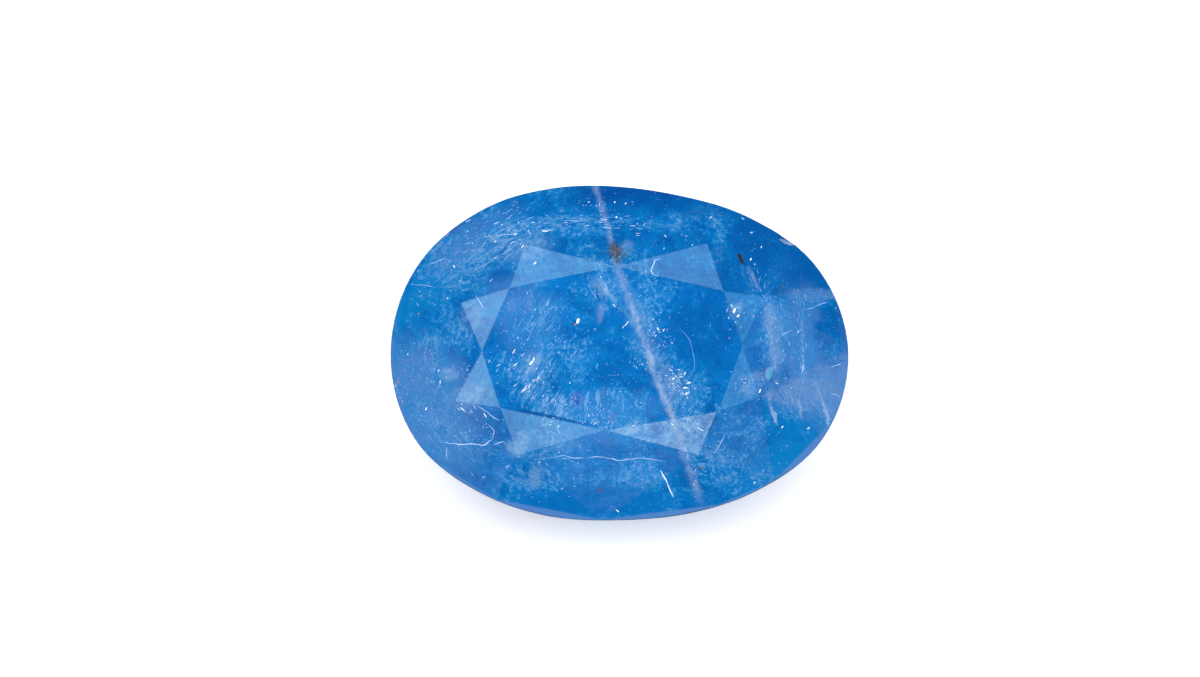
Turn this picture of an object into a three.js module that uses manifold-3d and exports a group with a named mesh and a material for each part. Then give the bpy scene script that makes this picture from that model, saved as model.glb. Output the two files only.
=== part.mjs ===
// A loose oval sapphire in a mixed cut: a brilliant crown with eight stars over a stepped pavilion.
// It lies on one of its lowest pavilion facets, as such a stone does, with the table up and forwards.
// Lengths are millimetres and angles are degrees. The stone is cut in a frame of its own, with +Z out
// of the table, X along the long axis and z = 0 at the girdle's lower edge, and is then laid down.
import * as THREE from "three";
import { mergeVertices } from "three/addons/utils/BufferGeometryUtils.js";
import Module from "manifold-3d";

// The girdle outline is a hand-cut oval 14.0 long and 10.2 wide: its radius every 22.5 degrees,
// anticlockwise from +X as seen from above the table.
const GIRDLE_RADII = [
  6.98, 6.59, 5.77, 5.18, 5.09, 5.46, 6.11, 6.76, 7.01, 6.8, 6.04, 5.41, 5.11, 5.31, 5.94, 6.74,
];
const OUTLINE_STEPS = 128;

// Heights above and below the girdle's lower edge
const TABLE_HEIGHT = 1.85;
const GIRDLE_TOP = 0.4;
const PREFORM_DEPTH = 6;

// The crown. Corner n of the table is where kite n starts, star n lies between corners n and n + 1,
// and drop is how far the tip of the star lies below the table. The azimuths say where the facet
// edges that leave the kite and the star tip reach the girdle.
const CROWN = [
  { corner: [-0.13, 2.52], kiteFoot: 94, tip: [-2.89, 3.22], drop: 0.39, tipFoot: 126 },
  { corner: [-3.35, 1.86], kiteFoot: 145, tip: [-4.85, 1.44], drop: 0.38, tipFoot: 163 },
  { corner: [-4.19, -0.05], kiteFoot: 182, tip: [-5.01, -1.56], drop: 0.4, tipFoot: 196 },
  { corner: [-3.63, -1.78], kiteFoot: 208, tip: [-3.12, -3.2], drop: 0.43, tipFoot: 230 },
  { corner: [-0.46, -2.46], kiteFoot: 264, tip: [2.39, -3.2], drop: 0.37, tipFoot: 303 },
  { corner: [2.95, -1.89], kiteFoot: 320, tip: [4.25, -1.45], drop: 0.24, tipFoot: 342 },
  { corner: [3.7, 0.14], kiteFoot: 1, tip: [4.46, 1.61], drop: 0.37, tipFoot: 16 },
  { corner: [3.14, 1.77], kiteFoot: 31, tip: [2.65, 3.26], drop: 0.44, tipFoot: 57 },
];

// The pavilion: three rings of facets parallel to the girdle, down to the keel. Each ring starts where
// the one above it has come in from the girdle by inset.
const RING_FACETS = 16;
const PAVILION_RINGS = [
  { inclination: 61, inset: 0 },
  { inclination: 45, inset: 0.75 },
  { inclination: 27, inset: 2.05 },
];
const RESTING_AZIMUTH = 270;
const HAND_LEAN = 1.1;
const HAND_DEPTH = 0.035;

// Conchoidal chips off the girdle's upper edge, struck at a slope from above: bite is how deep a chip
// goes and radius is that of its scoop.
const CHIPS = [
  { azimuth: 187.5, bite: 0.11, radius: 0.42 },
  { azimuth: 201, bite: 0.07, radius: 0.34 },
  { azimuth: 146, bite: 0.07, radius: 0.5 },
  { azimuth: 108, bite: 0.05, radius: 0.46 },
  { azimuth: 36, bite: 0.08, radius: 0.6 },
  { azimuth: 318, bite: 0.05, radius: 0.44 },
];
const CHIP_SLOPE = 35;
const CHIP_DETAIL = 2;

const SAPPHIRE_BLUE = 0x1466c4;

const wasm = await Module();
wasm.setup();

const radians = THREE.MathUtils.degToRad;

// The girdle's radius at an azimuth: a periodic Catmull-Rom curve through GIRDLE_RADII.
function girdleRadius(azimuth) {
  const count = GIRDLE_RADII.length;
  const place = (THREE.MathUtils.euclideanModulo(azimuth, 360) / 360) * count;
  const step = Math.floor(place);
  const t = place - step;
  const [before, start, end, after] = [-1, 0, 1, 2].map(
    (offset) => GIRDLE_RADII[(step + offset + count) % count],
  );
  const leaving = (end - before) / 2;
  const arriving = (after - start) / 2;
  const bend = 2 * (start - end) + leaving + arriving;
  const lift = 3 * (end - start) - 2 * leaving - arriving;
  return ((bend * t + lift) * t + leaving) * t + start;
}

function girdlePoint(azimuth, height) {
  const radius = girdleRadius(azimuth);
  const angle = radians(azimuth);
  return new THREE.Vector3(radius * Math.cos(angle), radius * Math.sin(angle), height);
}

// A closed geometry as a solid that can be cut.
function solidFrom(geometry) {
  const bare = geometry.clone();
  bare.deleteAttribute("normal");
  bare.deleteAttribute("uv");
  const merged = mergeVertices(bare);
  return new wasm.Manifold(
    new wasm.Mesh({
      numProp: 3,
      vertProperties: new Float32Array(merged.attributes.position.array),
      triVerts: new Uint32Array(merged.index.array),
    }),
  );
}

function geometryFrom(solid) {
  const mesh = solid.getMesh();
  return new THREE.BufferGeometry()
    .setAttribute("position", new THREE.BufferAttribute(mesh.vertProperties, 3))
    .setIndex(new THREE.BufferAttribute(mesh.triVerts, 1));
}

// The upright oval block that the facets are ground into.
function preform() {
  const outline = Array.from({ length: OUTLINE_STEPS }, (_, step) =>
    girdlePoint((360 * step) / OUTLINE_STEPS, 0),
  );
  const geometry = new THREE.ExtrudeGeometry(new THREE.Shape(outline), {
    depth: PREFORM_DEPTH + TABLE_HEIGHT,
    bevelEnabled: false,
  });
  geometry.translate(0, 0, -PREFORM_DEPTH);
  return solidFrom(geometry);
}

// The plane of a crown facet through three points, with its normal out of the stone.
function facetThrough(a, b, c) {
  const facet = new THREE.Plane().setFromCoplanarPoints(a, b, c);
  return facet.normal.z < 0 ? facet.negate() : facet;
}

// The crown's planes: the stars, the kites and the pairs of upper girdle facets.
function crownFacets() {
  const corners = CROWN.map(({ corner: [x, y] }) => new THREE.Vector3(x, y, TABLE_HEIGHT));
  const tips = CROWN.map(({ tip: [x, y], drop }) => new THREE.Vector3(x, y, TABLE_HEIGHT - drop));
  const count = CROWN.length;
  const kites = corners.map((corner, n) =>
    facetThrough(corner, tips[(n + count - 1) % count], tips[n]),
  );
  const kiteFeet = kites.map((kite, n) => footOfKite(kite, CROWN[n].kiteFoot));
  const stars = tips.map((tip, n) => facetThrough(corners[n], corners[(n + 1) % count], tip));
  const upperGirdle = tips.flatMap((tip, n) => {
    const tipFoot = girdlePoint(CROWN[n].tipFoot, GIRDLE_TOP);
    return [
      facetThrough(tip, kiteFeet[n], tipFoot),
      facetThrough(tip, tipFoot, kiteFeet[(n + 1) % count]),
    ];
  });
  return [...stars, ...kites, ...upperGirdle];
}

// Where a kite's plane meets the girdle wall at an azimuth.
function footOfKite(kite, azimuth) {
  const wall = new THREE.Line3(
    girdlePoint(azimuth, -TABLE_HEIGHT),
    girdlePoint(azimuth, TABLE_HEIGHT),
  );
  return kite.intersectLine(wall, new THREE.Vector3());
}

// How far the girdle reaches in a direction.
function reachTowards(direction) {
  const reaches = Array.from({ length: OUTLINE_STEPS }, (_, step) =>
    girdlePoint((360 * step) / OUTLINE_STEPS, 0).dot(direction),
  );
  return Math.max(...reaches);
}

// A small, fixed unevenness from -1 to 1 for a facet, as hand cutting leaves.
function handwork(ring, index) {
  return Math.sin(37 * ring + 11.3 * index * (ring + 1));
}

// The pavilion's planes. The facet that the stone rests on is cut true.
function pavilionFacets() {
  let depth = 0;
  return PAVILION_RINGS.flatMap(({ inclination, inset }, ring) => {
    if (ring > 0) {
      const above = PAVILION_RINGS[ring - 1];
      depth += (inset - above.inset) * Math.tan(radians(above.inclination));
    }
    return Array.from({ length: RING_FACETS }, (_, index) => {
      const azimuth = (360 * index) / RING_FACETS;
      const uneven = azimuth === RESTING_AZIMUTH ? 0 : handwork(ring, index);
      const lean = radians(inclination + HAND_LEAN * uneven);
      const outward = new THREE.Vector3(Math.cos(radians(azimuth)), Math.sin(radians(azimuth)), 0);
      const edge = outward.clone().multiplyScalar(reachTowards(outward) - inset);
      edge.z = -depth - HAND_DEPTH * ring * Math.abs(uneven);
      const normal = outward.multiplyScalar(Math.sin(lean)).setZ(-Math.cos(lean));
      return new THREE.Plane().setFromNormalAndCoplanarPoint(normal, edge);
    });
  });
}

// Grinds one facet: everything outside its plane is taken off.
function grind(stone, facet) {
  return stone.trimByPlane(facet.normal.clone().negate().toArray(), facet.constant);
}

// Breaks one chip off the girdle's upper edge.
function chip(stone, { azimuth, bite, radius }) {
  const edge = girdlePoint(azimuth, GIRDLE_TOP);
  const outward = edge.clone().setZ(0).setLength(Math.cos(radians(CHIP_SLOPE)));
  outward.z = Math.sin(radians(CHIP_SLOPE));
  const centre = edge.addScaledVector(outward, radius - bite);
  const scoop = new THREE.IcosahedronGeometry(radius, CHIP_DETAIL);
  scoop.translate(centre.x, centre.y, centre.z);
  return stone.subtract(solidFrom(scoop));
}

function cutStone() {
  const ground = [...crownFacets(), ...pavilionFacets()].reduce(grind, preform());
  return geometryFrom(CHIPS.reduce(chip, ground));
}

const sapphire = new THREE.Mesh(
  cutStone(),
  new THREE.MeshStandardMaterial({
    color: SAPPHIRE_BLUE,
    roughness: 0.08,
    metalness: 0,
    flatShading: true,
  }),
);
sapphire.name = "sapphire";

// Laid on its resting facet, with the origin under the middle of the stone
const restingRing = PAVILION_RINGS[PAVILION_RINGS.length - 1];
const lying = new THREE.Group();
lying.rotation.x = radians(restingRing.inclination);
lying.add(sapphire);

const stone = new THREE.Group();
stone.add(lying);
const extent = new THREE.Box3().setFromObject(stone, true);
const middle = extent.getCenter(new THREE.Vector3());
lying.position.set(-middle.x, -middle.y, -extent.min.z);

export default stone;
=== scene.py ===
"""A loose oval sapphire: the worn cut stone, what grew inside it, and a small studio round it.

Lengths in the classes are millimetres in the cutter's frame, which has +Z out of the table, X along
the stone's long axis and z = 0 at the girdle's lower edge. Meshes are put into the room in metres.
"""
import logging
import math
from dataclasses import dataclass, field, fields
from enum import Enum
from functools import reduce
from typing import Iterable, Sequence

import bmesh
import bpy
import numpy as np
from mathutils import Matrix, Vector


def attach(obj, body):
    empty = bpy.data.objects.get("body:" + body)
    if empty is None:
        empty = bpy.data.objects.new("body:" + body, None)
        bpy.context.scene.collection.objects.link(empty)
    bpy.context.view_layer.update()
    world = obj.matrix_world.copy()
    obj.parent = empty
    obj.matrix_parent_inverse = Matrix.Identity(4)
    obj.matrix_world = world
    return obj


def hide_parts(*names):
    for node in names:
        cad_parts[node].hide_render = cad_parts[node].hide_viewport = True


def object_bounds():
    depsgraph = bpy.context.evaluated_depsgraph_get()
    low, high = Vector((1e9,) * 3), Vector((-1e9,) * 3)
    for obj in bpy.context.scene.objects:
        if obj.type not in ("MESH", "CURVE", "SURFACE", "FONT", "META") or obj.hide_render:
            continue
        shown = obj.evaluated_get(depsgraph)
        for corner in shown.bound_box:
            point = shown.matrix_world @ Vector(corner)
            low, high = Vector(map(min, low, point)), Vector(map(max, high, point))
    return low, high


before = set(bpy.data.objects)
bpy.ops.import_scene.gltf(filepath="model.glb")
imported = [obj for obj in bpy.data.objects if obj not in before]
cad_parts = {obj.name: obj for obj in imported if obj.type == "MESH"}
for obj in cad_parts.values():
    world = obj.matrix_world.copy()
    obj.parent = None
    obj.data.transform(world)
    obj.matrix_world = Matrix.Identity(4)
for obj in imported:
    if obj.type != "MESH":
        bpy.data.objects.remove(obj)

CAD_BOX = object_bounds()
CAD_NODE = "sapphire"
BODY = "root"

MM = 0.001
SAPPHIRE_IOR = 1.77

Array = np.ndarray
Pair = tuple[float, float]
Point = tuple[float, float, float]
Colour = tuple[float, float, float]
Socket = bpy.types.NodeSocket

log = logging.getLogger("sapphire")


def srgb(red: int, green: int, blue: int) -> Colour:
    """Turns an 8-bit display colour into the linear colour that shaders take.

    Args:
        red: Display red, 0 to 255.
        green: Display green, 0 to 255.
        blue: Display blue, 0 to 255.

    Returns:
        The three linear values.
    """
    shown = np.array([red, green, blue]) / 255
    linear = np.where(shown <= 0.04045, shown / 12.92, ((shown + 0.055) / 1.055) ** 2.4)
    return tuple(float(value) for value in linear)


@dataclass(frozen=True)
class CutFrame:
    """The cutter's frame, and how it lies in the room.

    Attributes:
        origin: Where the frame's origin is in the room, in metres.
        tilt: How far the stone leans forwards on its resting facet, in radians.
    """

    origin: Array
    tilt: float = math.radians(27)

    @classmethod
    def of_stone(cls, points: Array) -> "CutFrame":
        """Finds the frame from the stone's corners.

        Args:
            points: The corners in the room, in metres, one a row.

        Returns:
            The frame whose table, left end and front come where the cutter has them.
        """
        table_height, left_reach, front_reach = 1.85, 7.01, 5.117
        level = cls(np.zeros(3)).to_cut(points)
        corner = np.array([level[:, 0].min(), level[:, 1].min(), level[:, 2].max()])
        shift = corner - np.array([-left_reach, -front_reach, table_height])
        return cls(cls(np.zeros(3)).to_room(shift))

    @property
    def turn(self) -> Array:
        """The rotation about X that lays the stone down, as a 3 by 3 array."""
        return np.array(Matrix.Rotation(self.tilt, 3, "X"))

    def to_room(self, points: Array) -> Array:
        """Puts points of the cutter's frame, in millimetres, into the room, in metres."""
        return points @ self.turn.T * MM + self.origin

    def to_cut(self, points: Array) -> Array:
        """Puts points of the room, in metres, into the cutter's frame, in millimetres."""
        return (points - self.origin) @ self.turn / MM


@dataclass(frozen=True)
class Facets:
    """The stone's flat facets as planes, in the cutter's frame.

    Attributes:
        normals: Unit normals out of the stone, one a row.
        offsets: How far each plane is from the frame's origin.
    """

    normals: Array
    offsets: Array

    def crown_over(self, plan: Array) -> tuple[Array, Array]:
        """Finds the crown above points of the plan: the lowest of the planes that face up.

        Args:
            plan: Points as seen from above the table, x and y a row.

        Returns:
            The points on the crown and the normals of their facets.
        """
        up = self.normals[:, 2] > 0.2
        normals, offsets = self.normals[up], self.offsets[up]
        heights = (offsets - plan @ normals[:, :2].T) / normals[:, 2]
        lowest = heights.argmin(axis=1)
        z = heights[np.arange(len(plan)), lowest]
        return np.column_stack([plan, z]), normals[lowest]

    def sink(self, plan: Array, depth: Array) -> Array:
        """Puts points inside the stone where they show at a place of the plan.

        A line of sight straight down onto the crown is bent at its facet, where the sine of its
        angle to the normal is divided by the stone's IOR, and is followed down by the depth.

        Args:
            plan: Where the points show, x and y a row.
            depth: How deep each one lies.

        Returns:
            The points, one a row.
        """
        surface, normals = self.crown_over(plan)
        ratio = 1 / SAPPHIRE_IOR
        facing = normals[:, 2:]
        bend = ratio * facing - np.sqrt(1 - ratio**2 * (1 - facing**2))
        sight = bend * normals
        sight[:, 2] -= ratio
        return surface + sight * (np.asarray(depth).reshape(-1, 1) / -sight[:, 2:])

    def inside(self, points: Array, margin: float) -> Array:
        """Says which points are inside every plane by at least a margin."""
        return (points @ self.normals.T < self.offsets - margin).all(axis=1)


def ride_on_stone(name: str, mesh: bpy.types.Mesh,
                  material: bpy.types.Material) -> bpy.types.Object:
    """Makes a piece from a mesh and lets it ride on the stone's body.

    Args:
        name: The piece's name.
        mesh: Its mesh, in the room's metres.
        material: Its finish.

    Returns:
        The new object.
    """
    mesh.materials.append(material)
    piece = bpy.data.objects.new(name, mesh)
    bpy.context.scene.collection.objects.link(piece)
    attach(piece, BODY)
    log.info("%s: %d faces", name, len(mesh.polygons))
    return piece


def add_piece(name: str, vertices: Array, faces: Array,
              material: bpy.types.Material) -> bpy.types.Object:
    """Makes a piece from arrays.

    Args:
        name: The piece's name.
        vertices: Corners in the room, in metres, one a row.
        faces: Corner numbers of each face, anticlockwise from outside, one a row.
        material: The piece's finish.

    Returns:
        The new object.
    """
    mesh = bpy.data.meshes.new(name)
    mesh.from_pydata(vertices, [], faces.tolist())
    mesh.validate()
    return ride_on_stone(name, mesh, material)


@dataclass(frozen=True)
class Grain:
    """A fractal noise, and the part of its range that counts.

    Attributes:
        scale: How many lumps it has to a unit of the place that it is drawn on.
        detail: How many finer octaves it has.
        rough: How strong each finer octave is.
        warp: How much the noise is folded by itself.
        low: The noise that counts as 0, where the average is about 0.5.
        high: The noise that counts as full.
    """

    scale: float
    detail: float
    rough: float
    warp: float = 0.0
    low: float = 0.4
    high: float = 0.6


class Graph:
    """A material's or world's node tree, with short ways to add the nodes that finishes use."""

    def __init__(self, tree: bpy.types.NodeTree) -> None:
        """Empties a node tree to build it anew."""
        tree.nodes.clear()
        self.tree = tree

    def node(self, kind: str, inputs: dict | None = None, **settings: object) -> bpy.types.Node:
        """Adds a node.

        Args:
            kind: The node's type without the words ShaderNode.
            inputs: Sockets by name or number, each with a value or the socket that feeds it.
            settings: Properties of the node.

        Returns:
            The node.
        """
        made = self.tree.nodes.new(f"ShaderNode{kind}")
        for name, value in settings.items():
            setattr(made, name, value)
        for key, value in (inputs or {}).items():
            self.feed(made.inputs[key], value)
        return made

    def feed(self, socket: Socket, value: object) -> None:
        """Links a socket to another, or sets its own value.

        Args:
            socket: The socket that is fed.
            value: Another socket, or a value; a colour may leave out its alpha.
        """
        if isinstance(value, bpy.types.NodeSocket):
            self.tree.links.new(value, socket)
        elif isinstance(value, tuple) and socket.type == "RGBA" and len(value) == 3:
            socket.default_value = (*value, 1)
        else:
            socket.default_value = value

    def math(self, operation: str, *values: object) -> Socket:
        """Adds a Math node and gives its result."""
        return self.node("Math", dict(enumerate(values)), operation=operation).outputs[0]

    def vector(self, operation: str, *values: object, out: str = "Vector") -> Socket:
        """Adds a Vector Math node and gives its result."""
        return self.node("VectorMath", dict(enumerate(values)), operation=operation).outputs[out]

    def step(self, value: Socket, low: float, high: float, to: float = 1.0) -> Socket:
        """Rises smoothly from 0 at low to a value at high; falls where low is above high."""
        inputs = {"Value": value, "From Min": low, "From Max": high, "To Max": to}
        return self.node("MapRange", inputs, interpolation_type="SMOOTHSTEP").outputs["Result"]

    def mix(self, factor: object, below: object, above: object) -> Socket:
        """Mixes two colours.

        Args:
            factor: How much of the upper colour shows.
            below: The lower colour.
            above: The upper colour.

        Returns:
            The mixed colour.
        """
        made = self.node("Mix", data_type="RGBA")
        for name, value in (("Factor_Float", factor), ("A_Color", below), ("B_Color", above)):
            self.feed(next(s for s in made.inputs if s.identifier == name), value)
        return next(s for s in made.outputs if s.identifier == "Result_Color")

    def scaled(self, value: Socket, share: float, more: object) -> Socket:
        """Gives a value times a share, plus something more."""
        return self.math("MULTIPLY_ADD", value, share, more)

    def highest(self, values: Iterable[Socket]) -> Socket:
        """Gives the highest of several values."""
        return reduce(lambda one, other: self.math("MAXIMUM", one, other), values)

    def axes(self, vector: Socket) -> bpy.types.NodeOutputs:
        """Takes a vector apart into its X, Y and Z."""
        return self.node("SeparateXYZ", {"Vector": vector}).outputs

    def noise(self, place: Socket, grain: Grain, out: str = "Fac") -> Socket:
        """Adds fractal noise on a place and gives its value, or its colour, about 0.5 on average.

        Args:
            place: Where the noise is read.
            grain: How it looks.
            out: Fac for a value, or Color for three.

        Returns:
            The noise.
        """
        inputs = {"Vector": place, "Scale": grain.scale, "Detail": grain.detail,
                  "Roughness": grain.rough, "Distortion": grain.warp}
        return self.node("TexNoise", inputs).outputs[out]

    def lumps(self, place: Socket, grain: Grain, to: float = 1.0) -> Socket:
        """Gives noise on a place that rises smoothly from 0 to a value over the grain's range."""
        return self.step(self.noise(place, grain), grain.low, grain.high, to)

    def placed(self, place: Socket, centre: Sequence[float], turn: float,
               size: Sequence[float]) -> Socket:
        """Gives a place as seen from a box of its own: centred, turned about Z and scaled.

        Args:
            place: The place.
            centre: The box's middle.
            turn: Its azimuth, in degrees.
            size: Half its length, width and height.

        Returns:
            The place in the box, from -1 to 1 each way.
        """
        inputs = {"Vector": place, "Location": tuple(centre),
                  "Rotation": (0, 0, math.radians(turn)), "Scale": tuple(size)}
        return self.node("Mapping", inputs, vector_type="TEXTURE").outputs["Vector"]


def new_material(name: str) -> tuple[bpy.types.Material, Graph, bpy.types.Node]:
    """Makes a material that has only a Principled shader.

    Args:
        name: The material's name.

    Returns:
        The material, its graph and the shader node.
    """
    material = bpy.data.materials.new(name)
    material.use_nodes = True
    graph = Graph(material.node_tree)
    shader = graph.node("BsdfPrincipled")
    output = graph.node("OutputMaterial", {"Surface": shader.outputs["BSDF"]})
    output.name = "Output"
    return material, graph, shader


@dataclass(frozen=True)
class Patch:
    """A stretch of the stone, an upright oval column in the plan.

    Attributes:
        centre: The middle in the plan.
        reach: How far it goes along and across.
        turn: The azimuth of its length, in degrees.
        strength: How much of it shows in the middle.
    """

    centre: Pair
    reach: Pair
    turn: float
    strength: float


@dataclass(frozen=True)
class Zone(Patch):
    """A patch with a colour of its own.

    Attributes:
        colour: Its linear colour.
    """

    colour: Colour


DEEP = srgb(0, 97, 178)
BLUE = srgb(0, 120, 203)
SHEEN = srgb(12, 138, 214)
TEAL = srgb(0, 134, 206)
LAVENDER = srgb(96, 146, 214)
VIOLET = srgb(100, 126, 206)
MILK = srgb(134, 182, 232)
CREAM = srgb(164, 194, 234)
SHADE = srgb(0, 84, 168)
ICE = srgb(52, 160, 220)
FROST = srgb(140, 192, 236)
LILAC = srgb(112, 156, 216)
PALE = srgb(208, 224, 246)
STAIN = srgb(84, 80, 88)


class Streak(Enum):
    """Which way the streaks of a haze run in the plan, as an azimuth in degrees."""

    LEVEL = 2
    RISING = 32
    STEEP = 60
    UPRIGHT = 88
    FALLING = -58


@dataclass(frozen=True)
class Haze(Patch):
    """A cloud of fine silk: a patch of streaks that run one way.

    Attributes:
        streak: Which way the streaks run.
    """

    streak: Streak


@dataclass(frozen=True)
class Fracture:
    """A healed crack, a nearly upright plane that shows as a milky line.

    Attributes:
        start: One end of the line in the plan.
        end: The other end.
        width: How far the milk goes to each side.
        strength: How milky it is.
    """

    start: Pair
    end: Pair
    width: float
    strength: float


@dataclass(frozen=True)
class Dust:
    """Fine specks: a small ball in some cells of a cell pattern.

    Attributes:
        scale: How many cells there are to the millimetre.
        size: How far a ball reaches, as a share of a cell.
        bare: The share of cells that have no ball.
        strength: How bright the balls are.
    """

    scale: float
    size: float
    bare: float
    strength: float


@dataclass(frozen=True)
class FacetLightAndShade:
    """A crown facet painted lighter or deeper by the way it faces: lighter is painted reflection of
    the studio light, deeper is painted shade, over the colour that shows from the pavilion below
    it.

    Attributes:
        azimuth: Where the facet faces in the plan, in degrees.
        inclination: How steep it is, in degrees.
        colour: The linear colour that it shows.
        strength: How much of the colour shows.
    """

    azimuth: float
    inclination: float
    colour: Colour
    strength: float

    @property
    def normal(self) -> Point:
        """The facet's normal in the cutter's frame."""
        turn, lean = math.radians(self.azimuth), math.radians(self.inclination)
        return (math.cos(turn) * math.sin(lean), math.sin(turn) * math.sin(lean), math.cos(lean))


@dataclass(frozen=True)
class SapphireFinish:
    """The stone itself: a see-through blue body, clouded in places, with a polish worn by use.

    Attributes:
        cut: The cutter's frame.
        transmission: The share of the light that goes on through the surface.
        roughness: How dull the polish is.
        lets_through: The colour of light that the body lets through.
        density: How strongly it takes up the rest.
        bend: How far what lies a millimetre deep shows shifted, under an upright facet.
        deep: How deep the body's colours show.
        near: How deep the clouds and the cracks show.
        column: Half the height of a patch or a crack, past the stone above and below.
        sheen_range: How milky it is where the sheen starts to show, and where it is full.
        milk_range: The same for the milk.
        mottling: The fine grain of the clouds, the tones and the marks.
        unevenness: The coarse grain of the tones and the marks.
        body_lumps: Where the body is a deeper or a lighter blue.
        zone_tears: How the zones' edges are torn.
        zone_tear: How far they are torn.
        mark_tears: How the marks' edges are torn.
        mark_tear: How far they are torn.
        thin_clouds: Where thin clouds lie between the hazes.
        streaks: The streaks of a haze.
        streak_size: The lengths to which they are drawn, along and across.
        frays: How the healed cracks fray.
        breaks: Where they are strong and where they fade.
        pavilion_light_grain: The noise that picks which pavilion facets get painted shade and which
            get painted highlights.
        dust_patches: Where the dust is thicker.
        dusts: The kinds of dust.
        zones: The colours of the body.
        marks: Torn marks over the clouds.
        crisp_marks: Clean marks at the surface: outlines of a crystal, a line of painted shade and
            a halo's painted interference colours.
        clearings: Where the clouds thin out.
        hazes: The clouds of silk.
        facet_light_and_shade: Painted reflection on the crown facets that show lighter, and painted
            shade on those that show deeper.
        fractures: The healed cracks.
    """

    cut: CutFrame
    transmission: float = 0.35
    roughness: float = 0.05
    lets_through: Colour = (0.1, 0.72, 0.94)
    density: float = 90.0
    bend: float = 0.47
    deep: float = 2.5
    near: float = 0.7
    column: float = 9.0
    sheen_range: Pair = (0.0, 0.45)
    milk_range: Pair = (0.25, 1.05)

    mottling: Grain = Grain(7.0, 4, 0.85, 0.2, 0.42, 0.64)
    unevenness: Grain = Grain(2.2, 5, 0.8)
    body_lumps: Grain = Grain(1.7, 5, 0.74, 0.5, 0.36, 0.62)
    zone_tears: Grain = Grain(0.9, 4, 0.7)
    zone_tear: float = 2.0
    mark_tears: Grain = Grain(4.0, 4, 0.7)
    mark_tear: float = 0.3
    thin_clouds: Grain = Grain(0.75, 6, 0.72, 0.5, 0.43, 0.6)
    streaks: Grain = Grain(1.0, 5, 0.8, 0.9, 0.4, 0.63)
    streak_size: Point = (0.45, 0.13, 0.13)
    frays: Grain = Grain(3.0, 5, 0.8)
    breaks: Grain = Grain(2.4, 3, 0.75, 0.0, 0.36, 0.58)
    pavilion_light_grain: Grain = Grain(4.0, 0, 0.55)
    dust_patches: Grain = Grain(0.7, 4, 0.7, 0.0, 0.42, 0.6)
    dusts: tuple[Dust, ...] = (Dust(5.0, 0.11, 0.84, 0.32), Dust(9.0, 0.25, 0.58, 0.26))

    zones: tuple[Zone, ...] = (
        Zone((0.2, 4.7), (3.6, 1.1), 0, 0.9, SHADE),
        Zone((4.9, 3.0), (2.7, 1.7), -20, 0.9, DEEP),
        Zone((-5.9, 1.4), (1.9, 0.8), 10, 0.9, TEAL),
        Zone((-5.5, -1.5), (1.9, 2.5), 15, 0.75, LAVENDER),
        Zone((-0.8, -4.1), (4.4, 1.1), 0, 0.7, BLUE),
        Zone((4.6, -3.0), (2.1, 1.1), 35, 0.7, SHEEN),
        Zone((6.1, -1.3), (1.4, 1.1), 0, 0.95, LAVENDER),
        Zone((4.9, 0.2), (0.9, 2.2), 8, 0.6, LAVENDER),
        Zone((6.2, 0.8), (0.8, 0.9), 0, 0.8, DEEP),
        Zone((-2.9, 0.9), (1.5, 1.4), 0, 0.45, LAVENDER),
        Zone((-3.9, 3.0), (1.5, 0.9), 25, 0.5, LAVENDER),
        Zone((-0.4, -1.9), (2.2, 0.7), 0, 0.35, LAVENDER),
        Zone((2.4, 0.8), (1.5, 1.5), 0, 0.7, DEEP),
    )
    marks: tuple[Zone, ...] = (
        Zone((-0.62, 1.11), (0.42, 0.17), 80, 0.4, LILAC),
        Zone((-0.62, 1.86), (0.52, 0.3), -50, 0.55, MILK),
        Zone((-1.32, -1.52), (0.36, 0.24), 85, 0.75, VIOLET),
        Zone((-1.30, -1.55), (0.2, 0.12), 85, 1.0, srgb(0, 84, 190)),
        Zone((-0.54, -1.40), (0.26, 0.15), 80, 0.6, VIOLET),
        Zone((-0.24, -2.10), (0.26, 0.22), 60, 0.6, VIOLET),
        Zone((-2.81, 1.55), (0.7, 0.22), 80, 0.5, VIOLET),
        Zone((-3.25, 1.36), (0.7, 0.3), 70, 0.7, LAVENDER),
        Zone((-5.68, -0.13), (0.34, 0.14), -60, 0.5, VIOLET),
        Zone((-0.14, 2.93), (0.38, 0.28), 90, 0.6, STAIN),
        Zone((0.22, 2.95), (0.28, 0.34), 0, 0.5, MILK),
        Zone((3.47, 1.18), (0.4, 0.24), 70, 0.45, MILK),
        Zone((-2.66, -0.38), (0.55, 0.4), 50, 0.75, MILK),
        Zone((0.41, -2.32), (0.34, 0.22), 20, 0.6, MILK),
        Zone((-3.02, -2.74), (0.5, 0.35), 60, 0.8, MILK),
        Zone((-2.55, -3.67), (0.45, 0.3), 60, 0.5, MILK),
        Zone((-5.03, -0.74), (0.42, 0.32), 0, 0.7, MILK),
        Zone((1.7, -1.0), (0.4, 0.3), 20, 0.5, MILK),
        Zone((5.3, -1.25), (1.3, 0.7), 0, 0.65, LILAC),
        Zone((4.52, 0.4), (1.5, 0.35), -82, 0.55, LILAC),
        Zone((-6.1, -0.6), (0.9, 0.8), 60, 0.5, LAVENDER),
        Zone((-4.9, 2.9), (1.2, 0.5), 35, 0.5, LAVENDER),
        Zone((-4.5, -1.35), (0.75, 0.4), 20, 0.6, MILK),
        Zone((-4.4, 1.0), (0.6, 0.5), 60, 0.4, MILK),
        Zone((-2.7, 2.95), (0.95, 0.45), 20, 0.5, MILK),
        Zone((3.9, -1.0), (0.6, 0.4), 50, 0.5, MILK),
        Zone((-1.9, -2.6), (1.2, 0.4), -10, 0.35, MILK),
        Zone((1.6, 4.5), (2.4, 0.7), -12, 0.6, SHADE),
        Zone((5.75, 1.7), (1.2, 0.22), 2, 0.5, LILAC),
    )
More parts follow.
